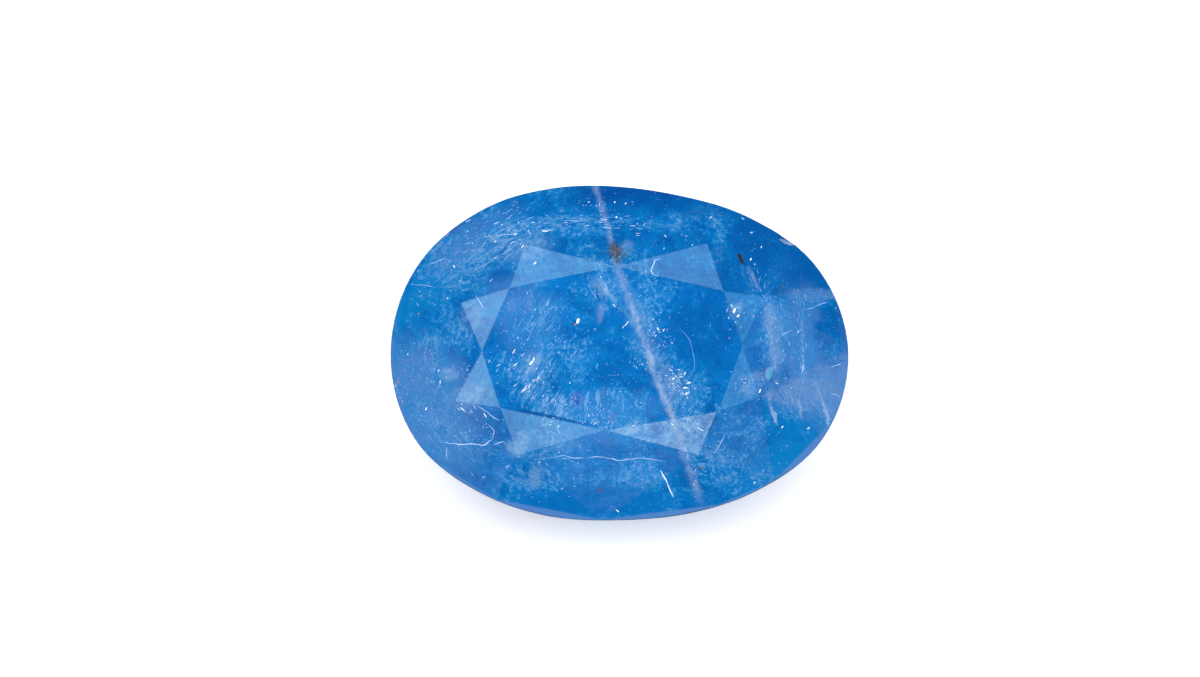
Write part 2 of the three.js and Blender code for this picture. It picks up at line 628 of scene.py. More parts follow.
    crisp_marks: tuple[Zone, ...] = (
        # A thin dark line at the table's lower-left edge: painted shade where the facets meet.
        Zone((-2.1, -2.05), (1.65, 0.075), -11.7, 0.9, SHADE),
        # A tension halo's pink, cyan and lilac: painted interference colours, the reflection of its
        # thin film.
        Zone((4.50, -0.72), (0.27, 0.14), 80, 0.7, srgb(176, 150, 222)),
        Zone((4.53, -0.72), (0.24, 0.11), 80, 1.0, srgb(60, 210, 226)),
        Zone((4.58, -0.71), (0.22, 0.08), 80, 0.9, LILAC),
        Zone((-0.69, 1.72), (0.26, 0.035), -80, 0.85, srgb(14, 62, 118)),
        Zone((-0.57, 1.84), (0.2, 0.03), -65, 0.7, srgb(14, 62, 118)),
        Zone((-0.58, 1.1), (0.4, 0.14), 84, 0.55, srgb(118, 152, 218)),
        Zone((-0.5, 1.88), (0.42, 0.16), -62, 0.5, FROST),
    )
    clearings: tuple[Patch, ...] = (
        Patch((4.9, 3.0), (2.6, 1.3), -35, 0.64),
        Patch((1.4, 4.7), (1.7, 0.6), 0, 0.75),
        Patch((0.4, 4.5), (2.8, 0.7), 0, 0.92),
        Patch((0.6, 3.2), (1.8, 0.4), 0, 0.6),
        Patch((6.2, 0.75), (0.8, 0.8), 0, 0.52),
        Patch((2.6, 0.5), (1.2, 1.5), 10, 0.52),
        Patch((-0.4, -0.4), (1.0, 0.8), -30, 0.45),
        Patch((-0.2, -4.4), (2.6, 0.6), 0, 0.68),
        Patch((-0.3, -2.9), (1.6, 0.5), 0, 0.45),
        Patch((-2.6, 4.3), (1.5, 0.5), 15, 0.45),
    )
    hazes: tuple[Haze, ...] = (
        Haze((-3.6, 3.1), (1.9, 0.9), 28, 1.0, Streak.RISING),
        Haze((-5.2, 2.3), (1.2, 0.7), 35, 0.6, Streak.RISING),
        Haze((-1.2, 3.8), (2.7, 0.36), 2, 0.7, Streak.LEVEL),
        Haze((1.4, 3.6), (1.4, 0.36), -8, 0.55, Streak.LEVEL),
        Haze((-2.6, 0.9), (1.5, 1.1), 70, 0.75, Streak.STEEP),
        Haze((-2.6, -0.9), (1.5, 0.9), 55, 0.8, Streak.STEEP),
        Haze((-1.9, -1.7), (1.4, 0.6), 15, 1.0, Streak.STEEP),
        Haze((-0.5, -1.7), (1.4, 0.8), 15, 0.8, Streak.UPRIGHT),
        Haze((-0.5, 1.7), (1.0, 0.8), -50, 0.7, Streak.FALLING),
        Haze((0.6, 1.0), (1.5, 0.6), -65, 0.7, Streak.FALLING),
        Haze((4.6, 0.5), (1.6, 0.6), 84, 0.75, Streak.UPRIGHT),
        Haze((5.5, 0.2), (1.9, 0.5), 88, 0.55, Streak.UPRIGHT),
        Haze((5.6, -1.4), (1.5, 1.0), 0, 0.7, Streak.FALLING),
        Haze((2.9, -3.3), (1.5, 0.9), -20, 0.75, Streak.FALLING),
        Haze((-5.7, -0.3), (1.4, 1.0), 90, 0.75, Streak.UPRIGHT),
        Haze((-5.0, -2.6), (1.7, 1.0), -25, 0.75, Streak.FALLING),
        Haze((-2.6, -3.7), (1.7, 0.6), -10, 0.7, Streak.FALLING),
        Haze((1.9, -1.2), (1.1, 0.8), 75, 0.8, Streak.STEEP),
        Haze((5.8, 1.6), (1.1, 0.4), 5, 0.6, Streak.LEVEL),
        Haze((3.8, 2.0), (0.8, 0.25), -70, 0.8, Streak.FALLING),
        Haze((0.3, -4.0), (1.6, 0.4), 5, 0.5, Streak.LEVEL),
        Haze((-5.5, -1.5), (1.3, 1.1), 60, 0.75, Streak.STEEP),
    )
    facet_light_and_shade: tuple[FacetLightAndShade, ...] = (
        # Star facets, 12 to 19 degrees steep: painted reflection of the ring light over their teal.
        # Lavender, lilac and teal on steeper facets: painted reflection; deep blue: painted shade.
        FacetLightAndShade(77, 18.1, ICE, 0.45),
        FacetLightAndShade(102, 17.5, ICE, 0.75),
        FacetLightAndShade(156, 17.5, ICE, 0.7),
        FacetLightAndShade(-162, 17.8, ICE, 0.75),
        FacetLightAndShade(-102, 18.5, ICE, 0.65),
        FacetLightAndShade(-81, 17.1, FROST, 0.75),
        FacetLightAndShade(-20, 12.7, ICE, 0.6),
        FacetLightAndShade(19, 17.2, ICE, 0.55),
        FacetLightAndShade(-91, 28.5, LAVENDER, 0.25),
        FacetLightAndShade(-121, 34.9, LAVENDER, 0.35),
        FacetLightAndShade(-101, 35.9, DEEP, 0.35),
        FacetLightAndShade(-130, 29.3, LAVENDER, 0.45),
        FacetLightAndShade(-152, 33.2, LAVENDER, 0.5),
        FacetLightAndShade(-169, 32.1, LAVENDER, 0.45),
        FacetLightAndShade(-8, 27.5, LILAC, 0.85),
        FacetLightAndShade(-44, 30.3, TEAL, 0.4),
        FacetLightAndShade(-52, 28.1, LAVENDER, 0.3),
        FacetLightAndShade(1, 25.0, LAVENDER, 0.3),
        FacetLightAndShade(32, 30.2, DEEP, 0.6),
        FacetLightAndShade(51, 27.5, DEEP, 0.5),
    )
    fractures: tuple[Fracture, ...] = (
        Fracture((-0.86, 5.4), (-0.38, 3.6), 0.17, 0.5),
        Fracture((-0.5, 4.1), (-0.05, 2.3), 0.15, 0.55),
        Fracture((-0.2, 2.75), (0.5, 0.95), 0.24, 0.5),
        Fracture((0.2, 1.75), (1.2, -1.1), 0.2, 1.0),
        Fracture((0.7, 0.1), (1.95, -2.9), 0.21, 0.9),
        Fracture((1.5, -1.8), (2.5, -4.6), 0.22, 0.5),
        Fracture((0.1, 1.9), (1.85, -2.1), 0.5, 0.3),
        Fracture((3.78, 2.5), (4.15, 1.65), 0.09, 0.45),
        Fracture((4.3, 1.65), (4.62, -0.9), 0.26, 0.45),
        Fracture((5.4, 1.4), (5.45, -1.4), 0.1, 0.22),
        Fracture((4.3, -1.2), (4.68, -2.2), 0.08, 1.0),
        Fracture((4.94, -1.1), (5.16, -1.65), 0.07, 0.7),
        Fracture((5.25, -1.35), (5.43, -2.0), 0.07, 0.8),
        Fracture((5.74, -0.75), (6.36, -2.4), 0.08, 1.0),
    )

    def make(self) -> bpy.types.Material:
        """Builds the material, from the body's colours up to what lies at the surface.

        Returns:
            The material.
        """
        material, graph, shader = new_material("sapphire_blue")
        place, facing = self.in_cut_frame(graph)
        near = self.seen(graph, place, facing, self.near)
        mottle = graph.lumps(place, self.mottling)
        grain = self.grain(graph, near, mottle)
        milk = graph.math("MULTIPLY", self.clouds(graph, near, mottle), self.clear(graph, near))
        colour = self.body_colour(graph, self.seen(graph, place, facing, self.deep))
        colour = graph.mix(graph.step(milk, *self.sheen_range), colour, SHEEN)
        colour = graph.mix(graph.step(milk, *self.milk_range), colour, MILK)
        # Painted reflection and shade on the crown's facets, then on the pavilion's.
        colour = self.paint_facet_light_and_shade(graph, facing, milk, grain, colour)
        colour = self.pavilion_light_and_shade(graph, facing, colour)
        colour = graph.mix(self.healed(graph, near), colour, CREAM)
        torn = self.torn(graph, near, self.mark_tears, self.mark_tear)
        colour = self.painted(graph, torn, self.marks, colour, grain)
        colour = self.painted(graph, place, self.crisp_marks, colour)
        colour = graph.mix(self.dust(graph, place), colour, PALE)
        colour = graph.mix(self.frost(graph, place), colour, LAVENDER)
        shader.inputs["IOR"].default_value = SAPPHIRE_IOR
        shader.inputs["Roughness"].default_value = self.roughness
        shader.inputs["Transmission Weight"].default_value = self.transmission
        graph.feed(shader.inputs["Base Color"], colour)
        body = graph.node("VolumeAbsorption", {"Color": self.lets_through, "Density": self.density})
        graph.feed(graph.tree.nodes["Output"].inputs["Volume"], body.outputs["Volume"])
        return material

    def in_cut_frame(self, graph: Graph) -> tuple[Socket, Socket]:
        """Gives the place and the surface's normal in the cutter's frame.

        Args:
            graph: The material's graph.

        Returns:
            The place and the normal.
        """
        coords = graph.node("TexCoord").outputs
        lying = {"Rotation": (self.cut.tilt, 0, 0)}
        place = lying | {"Vector": coords["Object"], "Location": tuple(self.cut.origin),
                         "Scale": (MM, MM, MM)}
        facing = lying | {"Vector": coords["Normal"]}
        place, facing = (graph.node("Mapping", inputs, vector_type="TEXTURE").outputs["Vector"]
                         for inputs in (place, facing))
        return place, facing

    def seen(self, graph: Graph, place: Socket, facing: Socket, depth: float) -> Socket:
        """Gives the place that shows through the surface from a depth.

        A line of sight down onto a facet is bent towards its normal, so what lies below shows
        shifted against the facet's slope: the place less the normal times the depth times bend.

        Args:
            graph: The material's graph.
            place: The place on the surface.
            facing: The surface's normal there.
            depth: How deep to look.

        Returns:
            The place that shows.
        """
        shift = -self.bend * depth
        return graph.vector("MULTIPLY_ADD", facing, (shift, shift, 0), place)

    def torn(self, graph: Graph, place: Socket, grain: Grain, reach: float) -> Socket:
        """Shifts each place by up to about half a reach, unevenly, to tear what is drawn there.

        Args:
            graph: The material's graph.
            place: The place.
            grain: How uneven the shift is.
            reach: Twice the greatest shift.

        Returns:
            The shifted place.
        """
        back = graph.vector("SUBTRACT", place, (reach / 2,) * 3)
        return graph.vector("MULTIPLY_ADD", graph.noise(place, grain, "Color"), (reach,) * 3, back)

    def mask(self, graph: Graph, place: Socket, patch: Patch) -> Socket:
        """Gives a patch's mask, full in the middle and gone at its reach.

        Args:
            graph: The material's graph.
            place: The place.
            patch: The patch.

        Returns:
            The mask, from 0 to the patch's strength.
        """
        own = graph.placed(place, (*patch.centre, 0), patch.turn, (*patch.reach, self.column))
        ball = graph.node("TexGradient", {"Vector": own}, gradient_type="SPHERICAL").outputs["Fac"]
        return graph.step(ball, 0.0, 0.6, patch.strength)

    def painted(self, graph: Graph, place: Socket, zones: Sequence[Zone], colour: Socket,
                grain: Socket | None = None) -> Socket:
        """Lays zones over a colour one after another, broken up by a grain where one is given.

        Args:
            graph: The material's graph.
            place: The place.
            zones: The zones.
            colour: The colour under them.
            grain: What the zones' masks are multiplied by.

        Returns:
            The colour with the zones on it.
        """
        for zone in zones:
            mask = self.mask(graph, place, zone)
            if grain is not None:
                mask = graph.math("MULTIPLY", mask, grain)
            colour = graph.mix(mask, colour, zone.colour)
        return colour

    def grain(self, graph: Graph, place: Socket, mottle: Socket) -> Socket:
        """Gives the grain that breaks up tones and marks: a little, and fine and coarse lumps.

        Args:
            graph: The material's graph.
            place: The place of the coarse lumps.
            mottle: The fine lumps.

        Returns:
            The grain, from a little above 0 to 1.4.
        """
        least, share = 0.16, 0.62
        coarse = graph.scaled(graph.lumps(place, self.unevenness), share, least)
        return graph.scaled(mottle, share, coarse)

    def body_colour(self, graph: Graph, place: Socket) -> Socket:
        """Lays the zones over the blue body, with torn edges.

        Args:
            graph: The material's graph.
            place: The place deep in the body.

        Returns:
            The body's colour.
        """
        colour = graph.mix(graph.lumps(place, self.body_lumps), DEEP, BLUE)
        torn = self.torn(graph, place, self.zone_tears, self.zone_tear)
        return self.painted(graph, torn, self.zones, colour)

    def paint_facet_light_and_shade(self, graph: Graph, facing: Socket, milk: Socket, grain: Socket,
              colour: Socket) -> Socket:
        """Paints reflection and shade on the crown facets, told by which way they face, more where
        it is milky.

        Args:
            graph: The material's graph.
            facing: The surface's normal.
            milk: How milky it is.
            grain: What breaks up the tones.
            colour: The colour under them.

        Returns:
            The colour with the painted reflection and shade on it.
        """
        outside, within = math.cos(math.radians(3)), math.cos(math.radians(2))
        uneven = graph.math("MULTIPLY", grain, graph.scaled(milk, 0.6, 0.7))
        # Painted reflection on the lighter facets and painted shade on the deeper ones.
        for facet_light in self.facet_light_and_shade:
            turned = graph.vector("DOT_PRODUCT", facing, facet_light.normal, out="Value")
            shows = graph.step(turned, outside, within, facet_light.strength)
            colour = graph.mix(graph.math("MULTIPLY", shows, uneven), colour, facet_light.colour)
        return colour

    def pavilion_light_and_shade(self, graph: Graph, facing: Socket, colour: Socket) -> Socket:
        """Paints shade on some pavilion facets and highlights on others, picked by a noise on which
        way each faces.

        Args:
            graph: The material's graph.
            facing: The surface's normal.
            colour: The colour so far.

        Returns:
            The colour with the pavilion's painted shade and highlights.
        """
        average, low, high = 0.5, 0.34, 0.66
        below = graph.step(graph.axes(facing)["Z"], -0.2, -0.35)
        uneven = graph.noise(facing, self.pavilion_light_grain)
        # Painted shade in SHADE on some facets, painted highlights in FROST on others.
        dark = graph.math("MULTIPLY", below, graph.step(uneven, average, low, 0.6))
        light = graph.math("MULTIPLY", below, graph.step(uneven, average, high, 0.5))
        return graph.mix(light, graph.mix(dark, colour, SHADE), FROST)

    def clear(self, graph: Graph, place: Socket) -> Socket:
        """Gives 1 where clouds may show and less in the clearings between them."""
        gone = graph.highest(self.mask(graph, place, gap) for gap in self.clearings)
        return graph.math("SUBTRACT", 1.0, gone)

    def clouds(self, graph: Graph, place: Socket, mottle: Socket) -> Socket:
        """Gives how milky each place is: the hazes' streaks over mottled thin clouds.

        Args:
            graph: The material's graph.
            place: The place.
            mottle: The fine lumps.

        Returns:
            How milky it is, from 0 to 1.
        """
        thin = graph.math("ADD", graph.lumps(place, self.thin_clouds, 0.62), 0.16)
        layers = [graph.math("MULTIPLY", thin, graph.scaled(mottle, 0.65, 0.3))]
        for streak in Streak:
            drawn = graph.placed(place, (0, 0, 0), streak.value, self.streak_size)
            own = (self.mask(graph, place, haze) for haze in self.hazes if haze.streak is streak)
            lines = graph.lumps(drawn, self.streaks)
            layers.append(graph.math("MULTIPLY", lines, graph.highest(own)))
        return graph.highest(layers)

    def healed(self, graph: Graph, place: Socket) -> Socket:
        """Gives how much each place belongs to a healed crack.

        Args:
            graph: The material's graph.
            place: The place.

        Returns:
            How much, from 0 to 1.
        """
        fray = graph.math("SUBTRACT", graph.noise(place, self.frays), 0.5)
        lines = graph.highest(self.line(graph, place, fray, crack) for crack in self.fractures)
        least, share = 0.45, 0.6
        whole = graph.scaled(graph.lumps(place, self.breaks), share, least)
        return graph.math("MULTIPLY", lines, whole)

    def line(self, graph: Graph, place: Socket, fray: Socket, crack: Fracture) -> Socket:
        """Gives one crack's line, by the distance from its plane, frayed and soft towards its ends.

        Args:
            graph: The material's graph.
            place: The place.
            fray: Noise of 0 on average.
            crack: The crack.

        Returns:
            The line, from 0 to the crack's strength.
        """
        fray_reach = -2.2
        run = np.subtract(crack.end, crack.start)
        middle = np.add(crack.start, crack.end) / 2
        turn = math.degrees(math.atan2(run[1], run[0]))
        size = (float(np.hypot(*run)) / 2, crack.width, self.column)
        own = graph.axes(graph.placed(place, (*middle, 0), turn, size))
        across = graph.scaled(fray, fray_reach, graph.math("ABSOLUTE", own["Y"]))
        along = graph.step(graph.math("ABSOLUTE", own["X"]), 1.02, 0.55)
        return graph.math("MULTIPLY", along, graph.step(across, 1.0, -0.2, crack.strength))

    def dust(self, graph: Graph, place: Socket) -> Socket:
        """Gives the dust, thicker in patches.

        Args:
            graph: The material's graph.
            place: The place.

        Returns:
            How much dust shows.
        """
        patches = graph.scaled(graph.lumps(place, self.dust_patches), 0.95, 0.05)
        specks = graph.highest(self.specks(graph, place, kind) for kind in self.dusts)
        return graph.math("MULTIPLY", specks, patches)

    def specks(self, graph: Graph, place: Socket, kind: Dust) -> Socket:
        """Gives one kind of dust's specks.

        Args:
            graph: The material's graph.
            place: The place.
            kind: The kind of dust.

        Returns:
            How much of a speck shows.
        """
        cells = graph.node("TexVoronoi", {"Vector": place, "Scale": kind.scale}).outputs
        chance = graph.node("SeparateColor", {"Color": cells["Color"]}).outputs["Red"]
        ball = graph.step(cells["Distance"], kind.size, kind.size * 0.3, kind.strength)
        return graph.math("MULTIPLY", ball, graph.math("GREATER_THAN", chance, kind.bare))

    def frost(self, graph: Graph, place: Socket) -> Socket:
        """Gives where the stone is frosted: on the girdle's front, ground but not polished.

        Args:
            graph: The material's graph.
            place: The place.

        Returns:
            How frosted it is.
        """
        own = graph.axes(place)
        girdle = graph.math("MULTIPLY", graph.step(own["Z"], -0.04, 0.0),
                            graph.step(own["Z"], 0.44, 0.39, 0.85))
        return graph.math("MULTIPLY", girdle, graph.step(own["Y"], 2.0, -3.0))


@dataclass
class CutStone:
    """The stone's surface: the frame's own facets with their edges worn round.

    Attributes:
        wear: How wide the worn edges are.
        merge: Corners closer than this are one corner.
        flat: Faces that turn less than this, in radians, are one facet.
        edge_turn: Only edges that turn more than this, in radians, are worn round.
        smallest: Only facets larger than this, in square millimetres, have worn edges.
        broad: Facets larger than this are planes that bound the stone.
        built: The facets, as they are worked on.
    """

    wear: float = 0.022
    merge: float = 0.01
    flat: float = math.radians(0.6)
    edge_turn: float = math.radians(3.5)
    smallest: float = 0.03
    broad: float = 0.24
    built: bmesh.types.BMesh = field(init=False, repr=False)

    def __post_init__(self) -> None:
        """Takes the facets from the frame's node."""
        self.built = bmesh.new()
        self.built.from_mesh(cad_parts[CAD_NODE].data)
        bmesh.ops.remove_doubles(self.built, verts=self.built.verts, dist=self.merge * MM)
        bmesh.ops.dissolve_limit(self.built, angle_limit=self.flat, use_dissolve_boundaries=False,
                                 verts=self.built.verts, edges=self.built.edges)
        self.built.normal_update()

    def corners(self) -> Array:
        """Gives the stone's corners in the room, in metres."""
        return np.array([vertex.co for vertex in self.built.verts])

    def facets(self, cut: CutFrame) -> Facets:
        """Gives the stone's larger facets as planes of the cutter's frame.

        Args:
            cut: The cutter's frame.

        Returns:
            The facets.
        """
        large = [f for f in self.built.faces if f.calc_area() > self.broad * MM**2]
        normals = np.array([face.normal for face in large]) @ cut.turn
        centres = cut.to_cut(np.array([face.calc_center_median() for face in large]))
        return Facets(normals, (normals * centres).sum(axis=1))

    def scatter(self, cut: CutFrame, count: int, draws: np.random.Generator) -> tuple[Array, Array]:
        """Picks places all over the stone, as many to the square millimetre everywhere.

        Each is a corner of a triangle, picked by its area, plus random shares of the two sides
        that meet there. A place past the third side is folded back over it.

        Args:
            cut: The cutter's frame.
            count: How many places to pick.
            draws: The random draws.

        Returns:
            The places and the normals of their facets, in the cutter's frame.
        """
        triangles = self.built.calc_loop_triangles()
        corners = cut.to_cut(np.array([[loop.vert.co for loop in loops] for loops in triangles]))
        first, second = corners[:, 1] - corners[:, 0], corners[:, 2] - corners[:, 0]
        doubled = np.cross(first, second)
        area = np.linalg.norm(doubled, axis=1)
        picked = draws.choice(len(area), count, p=area / area.sum())
        u, v = draws.random((2, count, 1))
        folded = u + v > 1
        u, v = np.where(folded, 1 - u, u), np.where(folded, 1 - v, v)
        places = corners[picked, 0] + u * first[picked] + v * second[picked]
        return places, doubled[picked] / area[picked, None]

    def worn_edges(self, cut: CutFrame) -> list[bmesh.types.BMEdge]:
        """Lists the edges between facets that are large enough to be worn round.

        Args:
            cut: The cutter's frame.

        Returns:
            The edges.
        """
        upright = cut.turn.T

        def is_wall(face: bmesh.types.BMFace) -> bool:
            """Says whether a face is part of the girdle's upright wall."""
            return abs((upright @ np.array(face.normal))[2]) < 0.1

        def is_worn(edge: bmesh.types.BMEdge) -> bool:
            """Says whether both faces of an edge are facets, and not both of the wall.

            Args:
                edge: The edge.

            Returns:
                Whether it is worn.
            """
            sides = edge.link_faces
            if len(sides) != 2 or edge.calc_face_angle() < self.edge_turn:
                return False
            if all(is_wall(face) for face in sides):
                return False
            return all(is_wall(f) or f.calc_area() > self.smallest * MM**2 for f in sides)

        return [edge for edge in self.built.edges if is_worn(edge)]

    def build(self, cut: CutFrame) -> bpy.types.Object:
        """Wears the edges and makes the piece that stands for the frame's node.

        Args:
            cut: The cutter's frame.

        Returns:
            The piece.
        """
        bmesh.ops.bevel(self.built, geom=self.worn_edges(cut), offset=self.wear * MM, segments=2,
                        profile=0.5, affect="EDGES", clamp_overlap=False)
        mesh = bpy.data.meshes.new("stone")
        self.built.to_mesh(mesh)
        self.built.free()
        corners = np.empty(len(mesh.vertices) * 3, np.float32)
        mesh.vertices.foreach_get("co", corners)
        mesh.vertices.foreach_set("co", np.clip(corners.reshape(-1, 3), *CAD_BOX).ravel())
        stone = ride_on_stone("stone", mesh, SapphireFinish(cut).make())
        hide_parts(CAD_NODE)
        return stone


class Tint(Enum):
    """What the small things look like: their dull and bright colour, and how rough they are."""

    SILK = (srgb(52, 134, 210), srgb(250, 252, 255), 0.35)
    CRACK = (srgb(52, 134, 210), srgb(232, 240, 255), 0.3)
    IRON = (srgb(96, 88, 82), srgb(38, 34, 36), 0.45)
    RUST = (srgb(128, 96, 76), srgb(186, 126, 104), 0.5)

    def material(self) -> bpy.types.Material:
        """Makes the finish, from dull to bright by the piece's own brightness attribute.

        Returns:
            The material.
        """
        dull, bright, roughness = self.value
        material, graph, shader = new_material(f"{self.name.lower()}_finish")
        brightness = graph.node("Attribute", attribute_name="brightness").outputs["Fac"]
        graph.feed(shader.inputs["Base Color"], graph.mix(brightness, dull, bright))
        shader.inputs["Roughness"].default_value = roughness
        return material


# A small crystal's corners round its middle, and its greatest half thickness
BELT = 6
THICKEST = 0.008


@dataclass(frozen=True)
class Bits:
    """Small crystals as arrays, one a row, in the cutter's frame.

    Attributes:
        centres: Their middles.
        along: From a middle to a tip.
        across: From a middle to a side.
        up: From a middle to the top.
        brightness: From 0, dull, to 1, bright.
    """

    centres: Array
    along: Array
    across: Array
    up: Array
    brightness: Array

    @classmethod
    def joined(cls, parts: Sequence["Bits"]) -> "Bits":
        """Puts several lots of crystals together."""
        names = (f.name for f in fields(cls))
        return cls(*(np.concatenate([getattr(part, name) for part in parts]) for name in names))

    @classmethod
    def laid(cls, centres: Array, normals: Array, heading: Array, length: Array, slim: Array,
             brightness: Array) -> "Bits":
        """Lays crystals flat on their facets.

        A crystal's length runs in its heading, less the part of that which leaves the facet. Its
        width is square to that in the facet, and a flat share of it stands along the normal.

        Args:
            centres: Their middles.
            normals: The facets' normals.
            heading: The azimuths of their lengths, in degrees.
            length: How long they are from tip to tip.
            slim: Their widths as shares of their lengths.
            brightness: From 0, dull, to 1, bright.

        Returns:
            The crystals.
        """
        turn = np.radians(heading)
        along = np.column_stack([np.cos(turn), np.sin(turn), np.zeros(len(turn))])
        along -= normals * (along * normals).sum(axis=1, keepdims=True)
        along /= np.linalg.norm(along, axis=1, keepdims=True)
        across = np.cross(normals, along)
        half, side = length[:, None] / 2, (length * slim)[:, None] / 2
        thick = np.minimum(side * 0.5, THICKEST)
        return cls(centres, along * half, across * side, normals * thick, brightness)

    def corners(self, draws: np.random.Generator) -> Array:
        """Gives the corners of each crystal.

        The belt's corners lie on an uneven ellipse, the cosine of the turn along and its sine
        across. One more closes it above and one below.

        Args:
            draws: The random draws.

        Returns:
            The corners: crystals by corners by coordinates.
        """
        turn = np.arange(BELT)[None, :, None] * 2 * math.pi / BELT
        uneven = draws.uniform(0.6, 1.0, (len(self.centres), BELT, 1))
        reach = np.cos(turn) * self.along[:, None] + np.sin(turn) * self.across[:, None]
        caps = np.stack([self.up, -self.up], axis=1)
        return self.centres[:, None] + np.concatenate([uneven * reach, caps], axis=1)


@dataclass(frozen=True)
class Crystal:
    """One crystal that shows by itself.

    Attributes:
        at: Where it shows in the plan.
        length: How long it is.
        slim: Its width as a share of its length.
        heading: The azimuth of its length, in degrees.
        brightness: From 0, dull, to 1, bright.
    """

    at: Pair
    length: float
    slim: float = 0.4
    heading: float = 60
    brightness: float = 0.9


@dataclass(frozen=True)
class Swarm:
    """Many small crystals round a line in the plan.

    Attributes:
        line: The line's corners.
        spread: How far the crystals stray from it.
        count: How many there are.
        length: How long most of them are.
        heading: The azimuth of their lengths, in degrees.
        swing: How far the headings differ.
        brightness: How bright most of them are.
        deepest: How deep the deepest ones lie; most lie at the surface.
        size: What the lengths are multiplied by.
        slim: The least and greatest width, as shares of the length.
        faintest: The least brightness.
    """

    line: tuple[Pair, ...]
    spread: float
    count: int
    length: float = 0.09
    heading: float = 60
    swing: float = 50
    brightness: float = 0.5
    deepest: float = 0.5
    size: float = 0.8
    slim: Pair = (0.07, 0.27)
    faintest: float = 0.03

    def bits(self, facets: Facets, draws: np.random.Generator) -> Bits:
        """Makes the crystals: two in three at the surface, and the others deeper.

        They start at even chances along the line and stray from it to each side alike.

        Args:
            facets: The stone's facets.
            draws: The random draws.

        Returns:
            The crystals.
        """
        corners = np.array(self.line, dtype=float)
        place = draws.uniform(0, len(corners) - 1, self.count)
        steps = np.arange(len(corners))
        plan = np.column_stack([np.interp(place, steps, corners[:, axis]) for axis in (0, 1)])
        plan += draws.normal(0, self.spread, plan.shape)
        surface, normals = facets.crown_over(plan)
        depth = self.deepest * np.maximum(draws.uniform(-2.0, 1.0, self.count), 0)
        centres = np.where(depth[:, None] > 0, facets.sink(plan, depth), surface)
        headings = draws.normal(self.heading, self.swing, self.count)
        lengths = self.length * self.size * draws.lognormal(0, 0.4, self.count)
        slim = draws.uniform(*self.slim, self.count)
        brightness = np.clip(self.brightness * draws.gamma(1.6, 0.42, self.count), self.faintest, 1)
        return Bits.laid(centres, normals, headings, lengths, slim, brightness)


@dataclass(frozen=True)
class Thread:
    """A hairline crack, a thin wavering line over the crown.

    Attributes:
        line: Its corners in the plan.
        width: How wide it is where it is widest.
        brightness: How bright it is.
        waver: How far it strays from its line.
        step: How far apart its sections are.
        fullness: Half the mean width, as a share of the width.
        thickest: How far it stands from the facet at most.
    """

    line: tuple[Pair, ...]
    width: float = 0.035
    brightness: float = 0.6
    waver: float = 0.02
    step: float = 0.04
    fullness: float = 0.3
    thickest: float = 0.006

    def surface(self, facets: Facets, draws: np.random.Generator) -> tuple[Array, Array]:
        """Gives the thread's corners and faces.

        The section is a flat diamond with its corners half the width to each side and a few
        microns above and below the facet, and it thins to nothing at both ends.

        Args:
            facets: The stone's facets.
            draws: The random draws.

        Returns:
            The corners, one a row, and the corner numbers of each face.
        """
        corners = np.array(self.line, dtype=float)
        run = np.concatenate([[0], np.cumsum(np.linalg.norm(np.diff(corners, axis=0), axis=1))])
        count = max(6, int(run[-1] / self.step))
        place = np.linspace(0, run[-1], count)
        plan = np.column_stack([np.interp(place, run, corners[:, axis]) for axis in (0, 1)])
        stray = np.column_stack([self.wander(count, draws) for _ in "xy"])
        plan += stray * self.waver
        centres, normals = facets.crown_over(plan)
        heading = np.gradient(centres, axis=0)
        across = np.cross(normals, heading)
        across /= np.linalg.norm(across, axis=1, keepdims=True)
        ends = np.sqrt(np.clip(np.sin(np.linspace(0.02, math.pi - 0.02, count)), 0, 1))
        uneven = np.clip(1 + self.wander(count, draws), 0.25, 1.6)
        half = (self.width * self.fullness * ends * uneven)[:, None]
        thin = np.minimum(half * 0.5, self.thickest)
        ring = np.stack([across * half, normals * thin, -across * half, -normals * thin], axis=1)
        side = np.arange(4)
        first = 4 * np.arange(count - 1)[:, None] + side
        beside = 4 * np.arange(count - 1)[:, None] + np.roll(side, -1)
        faces = np.stack([first, beside, beside + 4, first + 4], axis=2).reshape(-1, 4)
        ends_closed = np.stack([side[::-1], 4 * (count - 1) + side])
        return (centres[:, None] + ring).reshape(-1, 3), np.concatenate([faces, ends_closed])

    def wander(self, count: int, draws: np.random.Generator) -> Array:
        """Gives a smoothed random walk of 0 on average, one value a section."""
        smooth = np.ones(5) / 5
        return np.convolve(draws.normal(0, 1, count), smooth, "same")


